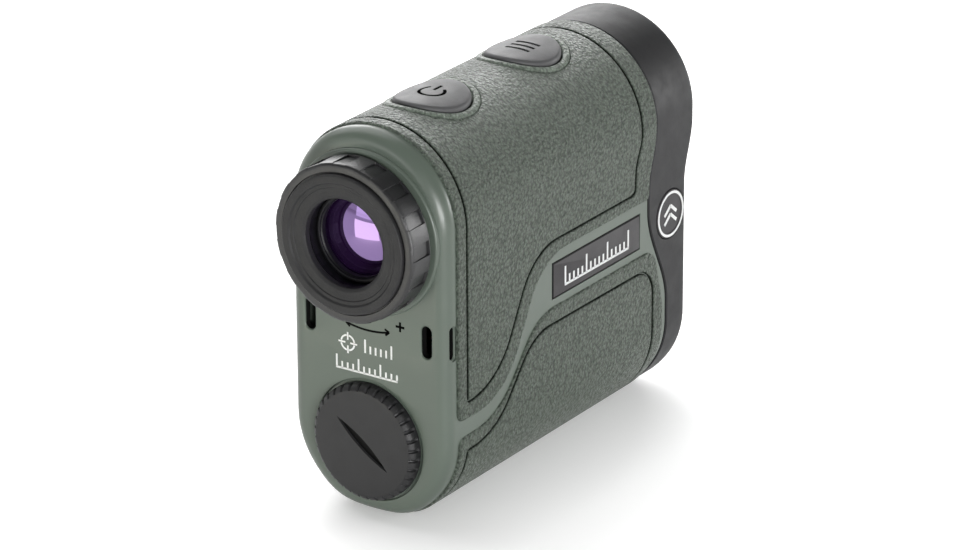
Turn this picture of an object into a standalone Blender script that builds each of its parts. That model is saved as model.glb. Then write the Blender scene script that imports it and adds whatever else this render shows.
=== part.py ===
"""A pocket laser rangefinder: a moulded tube body with rubber armour, an eyepiece, two buttons and a battery cap.

Every size is in millimetres times MM. Inside the frame empty, y = 0 is the flat rear face and +Y runs to the
front. The empty moves the whole part so that the world origin lies under the middle of the object.
"""

import math

import bmesh
import bpy
from mathutils import Matrix, Vector

MM = 0.001

# The body's section is an upright capsule: two arcs of one radius, one above the other, with a small flat foot.
HALF_WIDTH = 17.55 * MM
DOME_Z = 57.25 * MM
FOOT_Z = 16.85 * MM
ARC_STEPS = 16
FOOT_STEPS = 6
SIDE_STEPS = 10

# Depths below the armour's outer surface.
SHELL_INSET = 0.45 * MM
BEZEL_INSET = 0.25 * MM
ARMOUR_INSET = 1.25 * MM
BED_INSET = 1.4 * MM
CAVITY_INSET = 2.75 * MM
BEZEL_CAVITY_INSET = 1.95 * MM
LIP_OUTER_INSET = 2.95 * MM
LIP_INNER_INSET = 4.15 * MM

# Stations along the body.
EYEPIECE_LENGTH = 7.85 * MM
FRONT_LOW_Y = 81.0 * MM
FRONT_HIGH_Y = 83.7 * MM
REAR_WALL = 1.8 * MM
REAR_FILLET = 2.7 * MM
FRONT_FILLET = 1.8 * MM
FRONT_WALL = 2.2 * MM
SEAM_LOW_Y = 73.7 * MM
SEAM_WAIST_Y = 67.1 * MM
SEAM_HIGH_Y = 69.75 * MM
LIP_END_Y = 66.2 * MM

# The optical axes.
EYE_Z = 55.2 * MM
LASER_Z = 27.5 * MM
BATTERY_Z = 14.8 * MM
OBJECTIVE_LENS_RADIUS = 10.7 * MM
LASER_LENS_RADIUS = 7.0 * MM

# Buttons: oval plugs across the dome.
BUTTON_HALF_X = 6.95 * MM
BUTTON_HALF_Y = 7.5 * MM
POWER_Y = 20.9 * MM
MODE_Y = 50.4 * MM
BUTTON_CROWN_INSET = -0.75 * MM
BUTTON_FOOT_Z = 70.5 * MM
BUTTON_PLAY = 0.3 * MM
RIM_WIDTH = 1.7 * MM
RIM_INSET = -0.3 * MM

# Side trim.
PLATE_LOW = (34.3 * MM, 34.4 * MM)
PLATE_HIGH = (64.2 * MM, 41.35 * MM)
BADGE_Y = 74.7 * MM
BADGE_Z = 38.1 * MM
BADGE_RADIUS = 4.8 * MM
SIDE_FACE = HALF_WIDTH - SHELL_INSET

# Lanyard slots.
SLOT_LOW_Z = 33.6 * MM
SLOT_HIGH_Z = 39.8 * MM
SLOT_INNER_X = 11.6 * MM
SLOT_OUTER_X = 13.8 * MM

# Eyepiece and battery cap.
RING_RADIUS = 15.0 * MM
APERTURE_RADIUS = 8.35 * MM
COLLAR_RADIUS = 15.75 * MM
COLLAR_HEIGHT = 0.7 * MM
CAP_RADIUS = 11.2 * MM
CAP_PROUD = 2.3 * MM
BATTERY_RADIUS = 7.75 * MM
BATTERY_LENGTH = 27.0 * MM

GAP = 0.15 * MM
FAR = 40 * MM
MERGE = 0.00001

REAR_FACE_WORLD_Y = -(FRONT_HIGH_Y - EYEPIECE_LENGTH) / 2

GREEN = (0.155, 0.205, 0.160)
GREEN_RUBBER = (0.145, 0.190, 0.150)
CHARCOAL = (0.035, 0.036, 0.038)
BLACK = (0.012, 0.012, 0.013)
GREY = (0.075, 0.075, 0.080)
GLASS = (0.55, 0.42, 0.75)
CLEAR = (0.80, 0.86, 0.90)
STEEL = (0.62, 0.62, 0.63)
BRASS = (0.72, 0.53, 0.24)
BOARD = (0.03, 0.17, 0.09)
WHITE = (0.80, 0.80, 0.80)


def clear_scene():
    for item in list(bpy.data.objects):
        bpy.data.objects.remove(item, do_unlink=True)


def new_collection(name):
    made = bpy.data.collections.new(name)
    bpy.context.scene.collection.children.link(made)
    return made


clear_scene()
PARTS = new_collection("laser_rangefinder")
CUTTERS = new_collection("cutters")
FRAME = bpy.data.objects.new("rangefinder_frame", None)
FRAME.location = (0, REAR_FACE_WORLD_Y, 0)
PARTS.objects.link(FRAME)


def material(name, colour, roughness, metallic=0.0):
    """The material of that name, made the first time it is asked for."""
    made = bpy.data.materials.get(name)
    if made is None:
        made = bpy.data.materials.new(name)
        made.use_nodes = True
        shader = made.node_tree.nodes["Principled BSDF"]
        shader.inputs["Base Color"].default_value = (*colour, 1.0)
        shader.inputs["Roughness"].default_value = roughness
        shader.inputs["Metallic"].default_value = metallic
    return made


def place(name, bm, finish, pivot=(0, 0, 0)):
    """An object from a bmesh in frame coordinates, with its origin at pivot; finish None makes a cutter."""
    bmesh.ops.recalc_face_normals(bm, faces=bm.faces)
    bmesh.ops.translate(bm, vec=-Vector(pivot), verts=bm.verts)
    mesh = bpy.data.meshes.new(name)
    bm.to_mesh(mesh)
    bm.free()
    made = bpy.data.objects.new(name, mesh)
    made.location = pivot
    made.parent = FRAME
    if finish is None:
        CUTTERS.objects.link(made)
        made.hide_render = True
        made.display_type = "WIRE"
    else:
        PARTS.objects.link(made)
        mesh.materials.append(material(*finish))
    return made


def combine(target, tool, operation, solver="EXACT"):
    step = target.modifiers.new(operation.lower(), "BOOLEAN")
    step.operation = operation
    step.object = tool
    step.solver = solver


def cut(target, tool, solver="EXACT"):
    combine(target, tool, "DIFFERENCE", solver)


# Outlines


def arc(centre, radius, start, end, steps):
    """Points on an arc, both ends included; angles in degrees."""
    turn = [math.radians(start + (end - start) * i / steps) for i in range(steps + 1)]
    return [(centre[0] + radius * math.cos(a), centre[1] + radius * math.sin(a)) for a in turn]


def section(inset):
    """The body's outline in (x, z), inset below the armour's surface, from the right side over the dome."""
    radius = HALF_WIDTH - inset
    foot = math.degrees(math.asin((FOOT_Z - inset) / radius))
    rise = (DOME_Z - FOOT_Z) / SIDE_STEPS
    outline = arc((0, DOME_Z), radius, 0, 180, ARC_STEPS)
    outline += [(-radius, DOME_Z - rise * i) for i in range(1, SIDE_STEPS)]
    outline += arc((0, FOOT_Z), radius, 180, 180 + foot, FOOT_STEPS)
    outline += arc((0, FOOT_Z), radius, 360 - foot, 360, FOOT_STEPS)
    outline += [(radius, FOOT_Z + rise * i) for i in range(1, SIDE_STEPS)]
    return outline


def ease(value, low, high):
    """0 below low, 1 above high and a smooth step between them."""
    share = min(1.0, max(0.0, (value - low) / (high - low)))
    return share * share * (3 - 2 * share)


def seam_y(z):
    """The seam between the housing and the bezel, a lazy S down the side."""
    chin = SEAM_LOW_Y + (SEAM_WAIST_Y - SEAM_LOW_Y) * ease(z, 21 * MM, 41 * MM)
    return chin + (SEAM_HIGH_Y - SEAM_WAIST_Y) * ease(z, 45 * MM, 57 * MM)


def front_y(z):
    """The bezel's front, where the objective's hood stands further forward than the chin."""
    return FRONT_LOW_Y + (FRONT_HIGH_Y - FRONT_LOW_Y) * ease(z, 43 * MM, 55 * MM)


def rounded(corners, steps=6):
    """A closed outline of (a, b, radius) corners, with an arc in place of each corner that has a radius."""
    outline = []
    for i, (a, b, radius) in enumerate(corners):
        corner = Vector((a, b))
        if not radius:
            outline.append((a, b))
            continue
        before = (Vector(corners[i - 1][:2]) - corner).normalized()
        after = (Vector(corners[(i + 1) % len(corners)][:2]) - corner).normalized()
        half = before.angle(after) / 2
        centre = corner + (before + after).normalized() * radius / math.sin(half)
        start = corner + before * radius / math.tan(half) - centre
        end = corner + after * radius / math.tan(half) - centre
        sweep = start.angle_signed(end)
        for k in range(steps + 1):
            spoke = Matrix.Rotation(-sweep * k / steps, 2) @ start
            outline.append(tuple(centre + spoke))
    return outline


def grown(outline, distance):
    """The outline moved outwards by a distance, counter-clockwise outlines growing."""
    points = [Vector(p) for p in outline]
    moved = []
    for i, point in enumerate(points):
        ahead = (points[(i + 1) % len(points)] - point).normalized()
        behind = (point - points[i - 1]).normalized()
        normal = Vector((behind.y + ahead.y, -behind.x - ahead.x)).normalized()
        moved.append(tuple(point + normal * distance / max(0.3, normal.dot(Vector((ahead.y, -ahead.x))))))
    return moved


def upper_region():
    """The side outline of the upper armour in (y, z): everything above a long S."""
    return rounded(
        [
            (3.1 * MM, 20.9 * MM, 1.8 * MM),
            (18.3 * MM, 20.9 * MM, 15 * MM),
            (30.8 * MM, 43.5 * MM, 13 * MM),
            (95 * MM, 43.5 * MM, 0),
            (95 * MM, 90 * MM, 0),
            (3.1 * MM, 90 * MM, 0),
        ]
    )


def lower_region():
    """The side outline of the lower armour in (y, z): everything below a shallower S."""
    return rounded(
        [
            (3.6 * MM, -5 * MM, 0),
            (72.1 * MM, -5 * MM, 0),
            (72.1 * MM, 21 * MM, 10 * MM),
            (69.0 * MM, 32.85 * MM, 4 * MM),
            (29.3 * MM, 32.85 * MM, 12 * MM),
            (16.4 * MM, 17.9 * MM, 16 * MM),
            (3.6 * MM, 17.6 * MM, 1.5 * MM),
        ]
    )


def oval(half_x, half_y, centre_y, steps=20):
    turn = [2 * math.pi * i / steps for i in range(steps)]
    return [(half_x * math.cos(a), centre_y + half_y * math.sin(a)) for a in turn]


# Solids


def loft(name, rings, finish):
    """A closed body through rings of (inset, y), where y is a number or a function of z."""
    bm = bmesh.new()
    loops = []
    for inset, station in rings:
        height = station if callable(station) else (lambda z, fixed=station: fixed)
        loops.append([bm.verts.new((x, height(z), z)) for x, z in section(inset)])
    count = len(loops[0])
    for near, far in zip(loops, loops[1:]):
        for i in range(count):
            j = (i + 1) % count
            bm.faces.new((near[i], near[j], far[j], far[i]))
    for loop in (loops[0], loops[-1]):
        close_across(bm, loop)
    return place(name, bm, finish)


def close_across(bm, loop):
    """Closes a ring with strips that run straight across from the right side to the left."""
    right = loop[-(SIDE_STEPS + FOOT_STEPS):] + loop[: ARC_STEPS // 2]
    left = list(reversed(loop[ARC_STEPS // 2 + 1 : -(SIDE_STEPS + FOOT_STEPS)]))
    top = loop[ARC_STEPS // 2]
    for i in range(len(right) - 1):
        bm.faces.new((right[i], right[i + 1], left[i + 1], left[i]))
    bm.faces.new((right[-1], top, left[-1]))


def prism(name, outline, axis, low, high, finish=None, pivot=(0, 0, 0)):
    """A flat outline pushed along an axis: (y, z) along X, (x, z) along Y or (x, y) along Z."""
    bm = bmesh.new()
    spread = {"X": lambda a, b: (low, a, b), "Y": lambda a, b: (a, low, b), "Z": lambda a, b: (a, b, low)}[axis]
    push = {"X": (high - low, 0, 0), "Y": (0, high - low, 0), "Z": (0, 0, high - low)}[axis]
    face = bm.faces.new([bm.verts.new(spread(a, b)) for a, b in outline])
    top = bmesh.ops.extrude_face_region(bm, geom=[face])["geom"]
    bmesh.ops.translate(bm, vec=push, verts=[item for item in top if isinstance(item, bmesh.types.BMVert)])
    return place(name, bm, finish, pivot)


def block(name, low, high, finish=None, pivot=(0, 0, 0), bevel=0.0):
    """A box between two corners, with all its edges bevelled if asked."""
    bm = bmesh.new()
    size = [b - a for a, b in zip(low, high)]
    middle = [(a + b) / 2 for a, b in zip(low, high)]
    bmesh.ops.create_cube(bm, size=1.0, matrix=Matrix.Translation(middle) @ Matrix.Diagonal((*size, 1.0)))
    if bevel:
        bmesh.ops.bevel(bm, geom=bm.edges[:], offset=bevel, segments=1, affect="EDGES")
    return place(name, bm, finish, pivot)


AXIS_TURN = {
    "Y": Matrix.Rotation(math.radians(-90), 4, "X"),
    "X": Matrix.Rotation(math.radians(90), 4, "Y"),
    "Z": Matrix.Identity(4),
}


def rod(name, axis, centre, low, high, radius, finish=None, sides=20):
    """A cylinder along an axis through centre, from low to high."""
    bm = bmesh.new()
    along = "XYZ".index(axis)
    middle = list(centre)
    middle[along] = (low + high) / 2
    matrix = Matrix.Translation(middle) @ AXIS_TURN[axis]
    bmesh.ops.create_cone(
        bm, cap_ends=True, segments=sides, radius1=radius, radius2=radius, depth=high - low, matrix=matrix
    )
    return place(name, bm, finish)


def turned(name, profile, finish, z, sides=24):
    """A turned piece about a line along Y at height z. The profile of (radius, depth) runs down the outer
    side from the rear and back up inside, and closes on itself unless it starts and ends on the axis."""
    mesh = bpy.data.meshes.new(name)
    points = [(r, 0, -depth) for r, depth in profile]
    edges = [(i, i + 1) for i in range(len(points) - 1)]
    if profile[0][0] > 0:
        edges.append((len(points) - 1, 0))
    mesh.from_pydata(points, edges, [])
    made = bpy.data.objects.new(name, mesh)
    made.parent = FRAME
    made.location = (0, 0, z)
    made.rotation_euler = (math.radians(90), 0, 0)
    spin = made.modifiers.new("turn", "SCREW")
    spin.steps = sides
    spin.render_steps = sides
    spin.use_merge_vertices = True
    spin.merge_threshold = MERGE
    if finish is None:
        CUTTERS.objects.link(made)
        made.hide_render = True
        made.display_type = "WIRE"
    else:
        PARTS.objects.link(made)
        mesh.materials.append(material(*finish))
    return made


def lens_profile(radius, vertex, edge_near, edge_far, far_vertex, steps=3):
    """A lens between two vertices on the axis; depths grow towards the front."""
    rear = [(radius * i / steps, vertex + (edge_near - vertex) * (i / steps) ** 2) for i in range(steps + 1)]
    front = [(radius * i / steps, far_vertex + (edge_far - far_vertex) * (i / steps) ** 2) for i in range(steps + 1)]
    return rear + front[::-1]


def tube_profile(outer, inner, low, high):
    return [(outer, low), (outer, high), (inner, high), (inner, low)]


# Finishes: name, colour, roughness, metallic.
SHELL_FINISH = ("green_shell", GREEN, 0.45)
ARMOUR_FINISH = ("green_armour", GREEN_RUBBER, 0.7)
BEZEL_FINISH = ("charcoal_plastic", CHARCOAL, 0.5)
BLACK_FINISH = ("black_plastic", BLACK, 0.5)
RUBBER_FINISH = ("black_rubber", BLACK, 0.7)
TRIM_FINISH = ("grey_trim", GREY, 0.5)
EYE_GLASS_FINISH = ("coated_glass", GLASS, 0.03)
GLASS_FINISH = ("clear_glass", CLEAR, 0.03)
STEEL_FINISH = ("steel", STEEL, 0.3, 1.0)
GOLD_FINISH = ("contact_brass", BRASS, 0.3, 1.0)
BOARD_FINISH = ("circuit_board", BOARD, 0.5)
LABEL_FINISH = ("battery_jacket", WHITE, 0.4)


def make_housing():
    fillet = [
        (SHELL_INSET + REAR_FILLET * (1 - math.cos(a)), REAR_FILLET * (1 - math.sin(a)))
        for a in (math.radians(30 * i) for i in range(4))
    ]
    rings = [
        (CAVITY_INSET, REAR_WALL),
        (CAVITY_INSET, lambda z: seam_y(z) - GAP),
        (SHELL_INSET, lambda z: seam_y(z) - GAP),
    ]
    housing = loft("main_housing", rings + fillet, SHELL_FINISH)
    collar = rod("collar", "Y", (0, 0, EYE_Z), -COLLAR_HEIGHT, 1 * MM, COLLAR_RADIUS, sides=28)
    combine(housing, collar, "UNION", "MANIFOLD")
    for i, (x, z) in enumerate(FRAME_SCREWS):
        boss = rod(f"boss_{i}", "Y", (x, 0, z), 53 * MM, 63.1 * MM, BOSS_RADIUS, sides=16)
        combine(housing, boss, "UNION", "MANIFOLD")
    tools = []
    core = loft("bed_core", [(BED_INSET, -10 * MM), (BED_INSET, 100 * MM)], None)
    for name, region in (("upper_bed", upper_region()), ("lower_bed", lower_region())):
        bed = prism(name, grown(region, GAP), "X", -FAR, FAR)
        cut(bed, core)
        tools.append(bed)
    for label, y in (("power", POWER_Y), ("mode", MODE_Y)):
        well = oval(BUTTON_HALF_X + BUTTON_PLAY, BUTTON_HALF_Y + BUTTON_PLAY, y)
        tools.append(prism(f"{label}_well", well, "Z", 60 * MM, 95 * MM))
    tools.append(rod("eyepiece_bore", "Y", (0, 0, EYE_Z), -3 * MM, 5 * MM, 12.5 * MM, sides=28))
    tools.append(rod("battery_bore", "Y", (0, 0, BATTERY_Z), -3 * MM, 5 * MM, 9.4 * MM, sides=24))
    tools.append(rod("seal_seat", "Y", (0, 0, BATTERY_Z), -3 * MM, 1.6 * MM, 10.25 * MM, sides=24))
    tools.append(rod("cap_seat", "Y", (0, 0, BATTERY_Z), -3 * MM, 0.5 * MM, CAP_RADIUS + 0.45 * MM, sides=28))
    for side, tag in ((1, "right"), (-1, "left")):
        tools.append(slot_cutter(f"rear_slot_{tag}", side, SLOT_INNER_X, SLOT_OUTER_X, -2 * MM, 3 * MM))
        tools.append(slot_cutter(f"side_slot_{tag}", side, SLOT_INNER_X, 20 * MM, 1.6 * MM, 2.95 * MM))
        low = (side * 16.05 * MM, PLATE_LOW[0] - GAP, PLATE_LOW[1] - GAP)
        high = (side * 20 * MM, PLATE_HIGH[0] + GAP, PLATE_HIGH[1] + GAP)
        tools.append(block(f"plate_seat_{tag}", *ordered(low, high)))
    for i, (x, z) in enumerate(FRAME_SCREWS):
        tools.append(rod(f"pilot_{i}", "Y", (x, 0, z), 55 * MM, 64 * MM, 1.05 * MM, sides=10))
    for tool in tools:
        cut(housing, tool, "MANIFOLD")


def ordered(low, high):
    """The same two corners with each coordinate's smaller value first."""
    return [min(a, b) for a, b in zip(low, high)], [max(a, b) for a, b in zip(low, high)]


def slot_cutter(name, side, inner, outer, low_y, high_y):
    return block(name, *ordered((side * inner, low_y, SLOT_LOW_Z), (side * outer, high_y, SLOT_HIGH_Z)))


def make_armour():
    sleeve = [
        (ARMOUR_INSET, 0.5 * MM),
        (ARMOUR_INSET, lambda z: seam_y(z) - GAP),
        (0, lambda z: seam_y(z) - GAP),
        (0, 0.5 * MM),
        (ARMOUR_INSET, 0.5 * MM),
    ]
    for name, region in (("upper_armour", upper_region()), ("lower_armour", lower_region())):
        skin = ring_loft(name, sleeve, ARMOUR_FINISH)
        combine(skin, prism(f"{name}_region", region, "X", -FAR, FAR), "INTERSECT")
        if name == "upper_armour":
            for label, y in (("power", POWER_Y), ("mode", MODE_Y)):
                combine(skin, button_rim(label, y), "UNION")
                window = oval(BUTTON_HALF_X + BUTTON_PLAY, BUTTON_HALF_Y + BUTTON_PLAY, y)
                cut(skin, prism(f"{label}_window", window, "Z", 60 * MM, 95 * MM))


def button_rim(label, y):
    """The raised rim round a button: an oval of skin that stands proud of the armour."""
    root = ARMOUR_INSET / 2
    sleeve = [(root, 0), (root, 95 * MM), (RIM_INSET, 95 * MM), (RIM_INSET, 0), (root, 0)]
    rim = ring_loft(f"{label}_rim", sleeve, None)
    outline = oval(BUTTON_HALF_X + RIM_WIDTH, BUTTON_HALF_Y + RIM_WIDTH, y)
    combine(rim, prism(f"{label}_rim_outline", outline, "Z", 60 * MM, 95 * MM), "INTERSECT")
    return rim


def ring_loft(name, rings, finish):
    """A hollow sleeve: rings as loft takes them, the last one the same as the first."""
    bm = bmesh.new()
    loops = []
    for inset, station in rings[:-1]:
        height = station if callable(station) else (lambda z, fixed=station: fixed)
        loops.append([bm.verts.new((x, height(z), z)) for x, z in section(inset)])
    loops.append(loops[0])
    count = len(loops[0])
    for near, far in zip(loops, loops[1:]):
        for i in range(count):
            j = (i + 1) % count
            bm.faces.new((near[i], near[j], far[j], far[i]))
    return place(name, bm, finish)


def make_bezel():
    fillet = [
        (BEZEL_INSET + FRONT_FILLET * (1 - math.cos(a)), FRONT_FILLET * (1 - math.sin(a)))
        for a in (math.radians(30 * i) for i in range(4))
    ]
    rings = [
        (BEZEL_CAVITY_INSET, lambda z: front_y(z) - FRONT_WALL),
        (BEZEL_CAVITY_INSET, lambda z: seam_y(z) + 3.0 * MM),
        (LIP_INNER_INSET, lambda z: seam_y(z) + 1.6 * MM),
        (LIP_INNER_INSET, LIP_END_Y),
        (LIP_OUTER_INSET, LIP_END_Y),
        (LIP_OUTER_INSET, lambda z: seam_y(z) + GAP),
        (BEZEL_INSET, lambda z: seam_y(z) + GAP),
    ]
    rings += [(inset, lambda z, back=back: front_y(z) - back) for inset, back in fillet]
    bezel = loft("front_bezel", rings, BEZEL_FINISH)
    cut(bezel, rod("objective_mouth", "Y", (0, 0, EYE_Z), 70 * MM, 90 * MM, 11.3 * MM, sides=28))
    cut(bezel, rod("laser_mouth", "Y", (0, 0, LASER_Z), 70 * MM, 90 * MM, 7.7 * MM, sides=24))
    for side, tag in ((1, "right"), (-1, "left")):
        low = (side * 11 * MM, 60 * MM, BADGE_Z - 4.3 * MM)
        high = (side * 15.35 * MM, 78.2 * MM, BADGE_Z + 4.3 * MM)
        cut(bezel, block(f"lug_room_{tag}", *ordered(low, high)))
        spot = (0, BADGE_Y, BADGE_Z)
        seat = sorted((side * 16.45 * MM, side * 20 * MM))
        cut(bezel, rod(f"badge_seat_{tag}", "X", spot, *seat, BADGE_RADIUS + GAP, sides=24))
        sink = sorted((side * 15.85 * MM, side * 20 * MM))
        cut(bezel, rod(f"screw_sink_{tag}", "X", spot, *sink, 1.6 * MM, sides=16))
        hole = sorted((side * 14 * MM, side * 20 * MM))
        cut(bezel, rod(f"screw_hole_{tag}", "X", spot, *hole, 0.85 * MM, sides=12))
        plate_x = sorted((side * (SIDE_FACE - 0.85 * MM), side * (SIDE_FACE + 0.1 * MM)))
        low = (plate_x[0], PLATE_LOW[0], PLATE_LOW[1])
        high = (plate_x[1], PLATE_HIGH[0], PLATE_HIGH[1])
        block(f"nameplate_{tag}", low, high, TRIM_FINISH, bevel=0.15 * MM)
        badge = sorted((side * 16.65 * MM, side * 17.45 * MM))
        rod(f"badge_{tag}", "X", spot, *badge, BADGE_RADIUS, TRIM_FINISH, sides=24)
        screw(f"bezel_screw_{tag}", "X", spot, side * 16.4 * MM, side * 15.95 * MM, side * 12.9 * MM, 1.4, 0.65)


def screw(name, axis, centre, top, under_head, tip, head_radius, shank_radius):
    """A pan-head screw with a cross recess, running from its head's top to its tip; radii in millimetres."""
    along = "XYZ".index(axis)
    head = rod(name, axis, centre, *sorted((top, under_head)), head_radius * MM, STEEL_FINISH, sides=14)
    toward = 1 if tip > top else -1
    shank_start = under_head - toward * 0.2 * MM
    shank = rod(f"{name}_shank", axis, centre, *sorted((shank_start, tip)), shank_radius * MM, sides=10)
    combine(head, shank, "UNION")
    depth = toward * 0.5 * abs(under_head - top)
    for turn in range(2):
        half = [0.9 * head_radius * MM * 0.6, 0.16 * MM]
        if turn:
            half.reverse()
        low = list(centre)
        high = list(centre)
        for k, reach in zip([i for i in range(3) if i != along], half):
            low[k] -= reach
            high[k] += reach
        low[along] = top - toward * 1 * MM
        high[along] = top + depth
        cut(head, block(f"{name}_recess_{turn}", *ordered(low, high)))


FRAME_SCREWS = [(side * x * MM, z * MM) for side in (1, -1) for x, z in ((10.2, 40.5), (9.5, 12.0))]
BOSS_RADIUS = 4.8 * MM


def make_front_frame():
    frame = loft("front_frame", [(3.1 * MM, 63.4 * MM), (3.1 * MM, 65.4 * MM)], BLACK_FINISH)
    for side, tag in ((1, "right"), (-1, "left")):
        for label, start, outer in (("arm", 64 * MM, 14.3 * MM), ("pad", 69.5 * MM, 15.05 * MM)):
            low = (side * 12.5 * MM, start, BADGE_Z - 3.5 * MM)
            high = (side * outer, 77.6 * MM, BADGE_Z + 3.5 * MM)
            combine(frame, block(f"lug_{label}_{tag}", *ordered(low, high)), "UNION", "MANIFOLD")
        hole = sorted((side * 11 * MM, side * 17 * MM))
        cut(frame, rod(f"lug_hole_{tag}", "X", (0, BADGE_Y, BADGE_Z), *hole, 0.85 * MM, sides=12), "MANIFOLD")
    cut(frame, rod("objective_pass", "Y", (0, 0, EYE_Z), 60 * MM, 70 * MM, 12.3 * MM, sides=24), "MANIFOLD")
    cut(frame, rod("laser_pass", "Y", (0, 0, LASER_Z), 60 * MM, 70 * MM, 8.7 * MM, sides=24), "MANIFOLD")
    for i, (x, z) in enumerate(FRAME_SCREWS):
        cut(frame, rod(f"frame_hole_{i}", "Y", (x, 0, z), 60 * MM, 70 * MM, 1.1 * MM, sides=12), "MANIFOLD")
        screw(f"frame_screw_{i + 1}", "Y", (x, 0, z), 66.7 * MM, 65.6 * MM, 56 * MM, 1.9, 0.9)


def make_buttons():
    crown = loft("button_crown", [(BUTTON_CROWN_INSET, -5 * MM), (BUTTON_CROWN_INSET, 95 * MM)], None)
    for label, y in (("power", POWER_Y), ("mode", MODE_Y)):
        pivot = (0, y, BUTTON_FOOT_Z)
        outline = oval(BUTTON_HALF_X, BUTTON_HALF_Y, y)
        button = prism(f"{label}_button", outline, "Z", BUTTON_FOOT_Z, 80 * MM, TRIM_FINISH, pivot)
        combine(button, crown, "INTERSECT", "MANIFOLD")
        low = (-2.5 * MM, y - BUTTON_HALF_Y - 1.3 * MM, BUTTON_FOOT_Z)
        high = (2.5 * MM, y + BUTTON_HALF_Y + 1.3 * MM, BUTTON_FOOT_Z + 0.7 * MM)
        combine(button, block(f"{label}_tabs", low, high), "UNION", "MANIFOLD")
        block(
            f"{label}_switch",
            (-2.2 * MM, y - 2.2 * MM, 68.75 * MM),
            (2.2 * MM, y + 2.2 * MM, 69.9 * MM),
            STEEL_FINISH,
            bevel=0.2 * MM,
        )
    block("button_board", (-6 * MM, 14 * MM, 67.6 * MM), (6 * MM, 60 * MM, 68.5 * MM), BOARD_FINISH)


def make_eyepiece():
    barrel = [
        (12.2, -3.9), (12.2, 2.1), (13.6, 2.1), (13.6, 3.4), (12.2, 3.4), (12.2, 12.2), (10.65, 12.2), (10.65, -3.9),
    ]
    turned("eyepiece_barrel", scaled(barrel), BLACK_FINISH, EYE_Z)
    cell = [(10.4, -5.1), (10.4, 10.0), (7.6, 10.0), (7.6, 8.9), (8.65, 8.9), (8.65, -5.1)]
    turned("ocular_cell", scaled(cell), BLACK_FINISH, EYE_Z)
    turned("eye_lens", lens_profile(8.4 * MM, -2.9 * MM, -1.25 * MM, 0.6 * MM, 2.0 * MM), EYE_GLASS_FINISH, EYE_Z, 24)
    turned("field_lens", lens_profile(8.4 * MM, 3.4 * MM, 4.6 * MM, 7.2 * MM, 8.4 * MM), EYE_GLASS_FINISH, EYE_Z, 24)
    turned("ocular_retainer", scaled([(8.4, -3.4), (8.4, -1.9), (7.5, -1.9), (7.5, -3.4)]), BLACK_FINISH, EYE_Z, 24)
    ring = [(14.5, -7.1), (15.0, -6.6), (15.0, -1.45), (12.5, -1.45), (12.5, -5.4), (10.7, -5.4), (10.7, -6.8)]
    ring += [(13.3, -6.8), (13.3, -7.1)]
    turned("diopter_ring", scaled(ring), BLACK_FINISH, EYE_Z, 32)
    cup = [
        (12.9, -7.85), (13.1, -7.7), (13.1, -7.0), (10.3, -7.0), (10.3, -5.3), (9.0, -5.3), (8.35, -5.6),
        (8.35, -7.0), (9.3, -7.5), (11.0, -7.5), (11.6, -7.85),
    ]
    turned("eyecup", scaled(cup), RUBBER_FINISH, EYE_Z, 32)


def scaled(profile):
    return [(r * MM, depth * MM) for r, depth in profile]


def make_display():
    screen = ((-6.5 * MM, 13.1 * MM, EYE_Z - 6 * MM), (6.5 * MM, 14.2 * MM, EYE_Z + 6 * MM))
    block("lcd_display", *screen, GLASS_FINISH)
    frame = block(
        "display_frame",
        (-9.5 * MM, 14.5 * MM, EYE_Z - 9 * MM),
        (9.5 * MM, 16.2 * MM, EYE_Z + 9 * MM),
        BLACK_FINISH,
        bevel=0.4 * MM,
    )
    cut(frame, rod("display_window", "Y", (0, 0, EYE_Z), 12 * MM, 18 * MM, 5.5 * MM))


def make_prisms():
    low = (-11.2 * MM, 17.5 * MM, 43.6 * MM)
    high = (11.2 * MM, 46.8 * MM, 65.6 * MM)
    holder = block("prism_holder", low, high, BLACK_FINISH)
    cut(holder, block("prism_room", (-9.9 * MM, 18.8 * MM, 45.2 * MM), (9.9 * MM, 45.5 * MM, 70 * MM)))
    cut(holder, rod("prism_light", "Y", (0, 0, EYE_Z), 15 * MM, 50 * MM, 7.5 * MM))
    cut(holder, rod("receiver_port", "Z", (0, 34 * MM, 0), 40 * MM, 48 * MM, 3.0 * MM, sides=16))
    block("prism_cover", (-9.8 * MM, 17.5 * MM, 65.9 * MM), (9.8 * MM, 46.8 * MM, 66.9 * MM), BLACK_FINISH)
    half_penta = [(19.2, 45.6), (31.0, 45.6), (25.6, 64.8), (19.2, 64.8)]
    schmidt = [(31.7, 45.6), (45.1, 45.6), (45.1, 64.8), (40.5, 64.8), (26.4, 64.8)]
    for name, outline in (("half_penta_prism", half_penta), ("schmidt_prism", schmidt)):
        prism(name, scaled(outline), "X", -9.5 * MM, 9.5 * MM, GLASS_FINISH)
    board = ((-6 * MM, 26 * MM, 40.6 * MM), (6 * MM, 40 * MM, 41.5 * MM))
    block("receiver_board", *board, BOARD_FINISH)
    rod("receiver_sensor", "Z", (0, 34 * MM, 0), 41.8 * MM, 44.6 * MM, 2.6 * MM, GOLD_FINISH, sides=20)


def make_objective():
    barrel = [(12.0, 48.6), (12.0, 76.4), (12.8, 76.4), (12.8, 78.4), (10.9, 78.4), (10.9, 72.0), (9.9, 72.0)]
    barrel += [(9.9, 48.6)]
    turned("objective_barrel", scaled(barrel), BLACK_FINISH, EYE_Z, 24)
    glass = lens_profile(OBJECTIVE_LENS_RADIUS, 72.3 * MM, 73.0 * MM, 75.6 * MM, 77.4 * MM)
    turned("objective_lens", glass, EYE_GLASS_FINISH, EYE_Z, 24)
    turned("objective_retainer", scaled(tube_profile(10.7, 9.9, 76.6, 77.8)), BLACK_FINISH, EYE_Z, 24)


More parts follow.
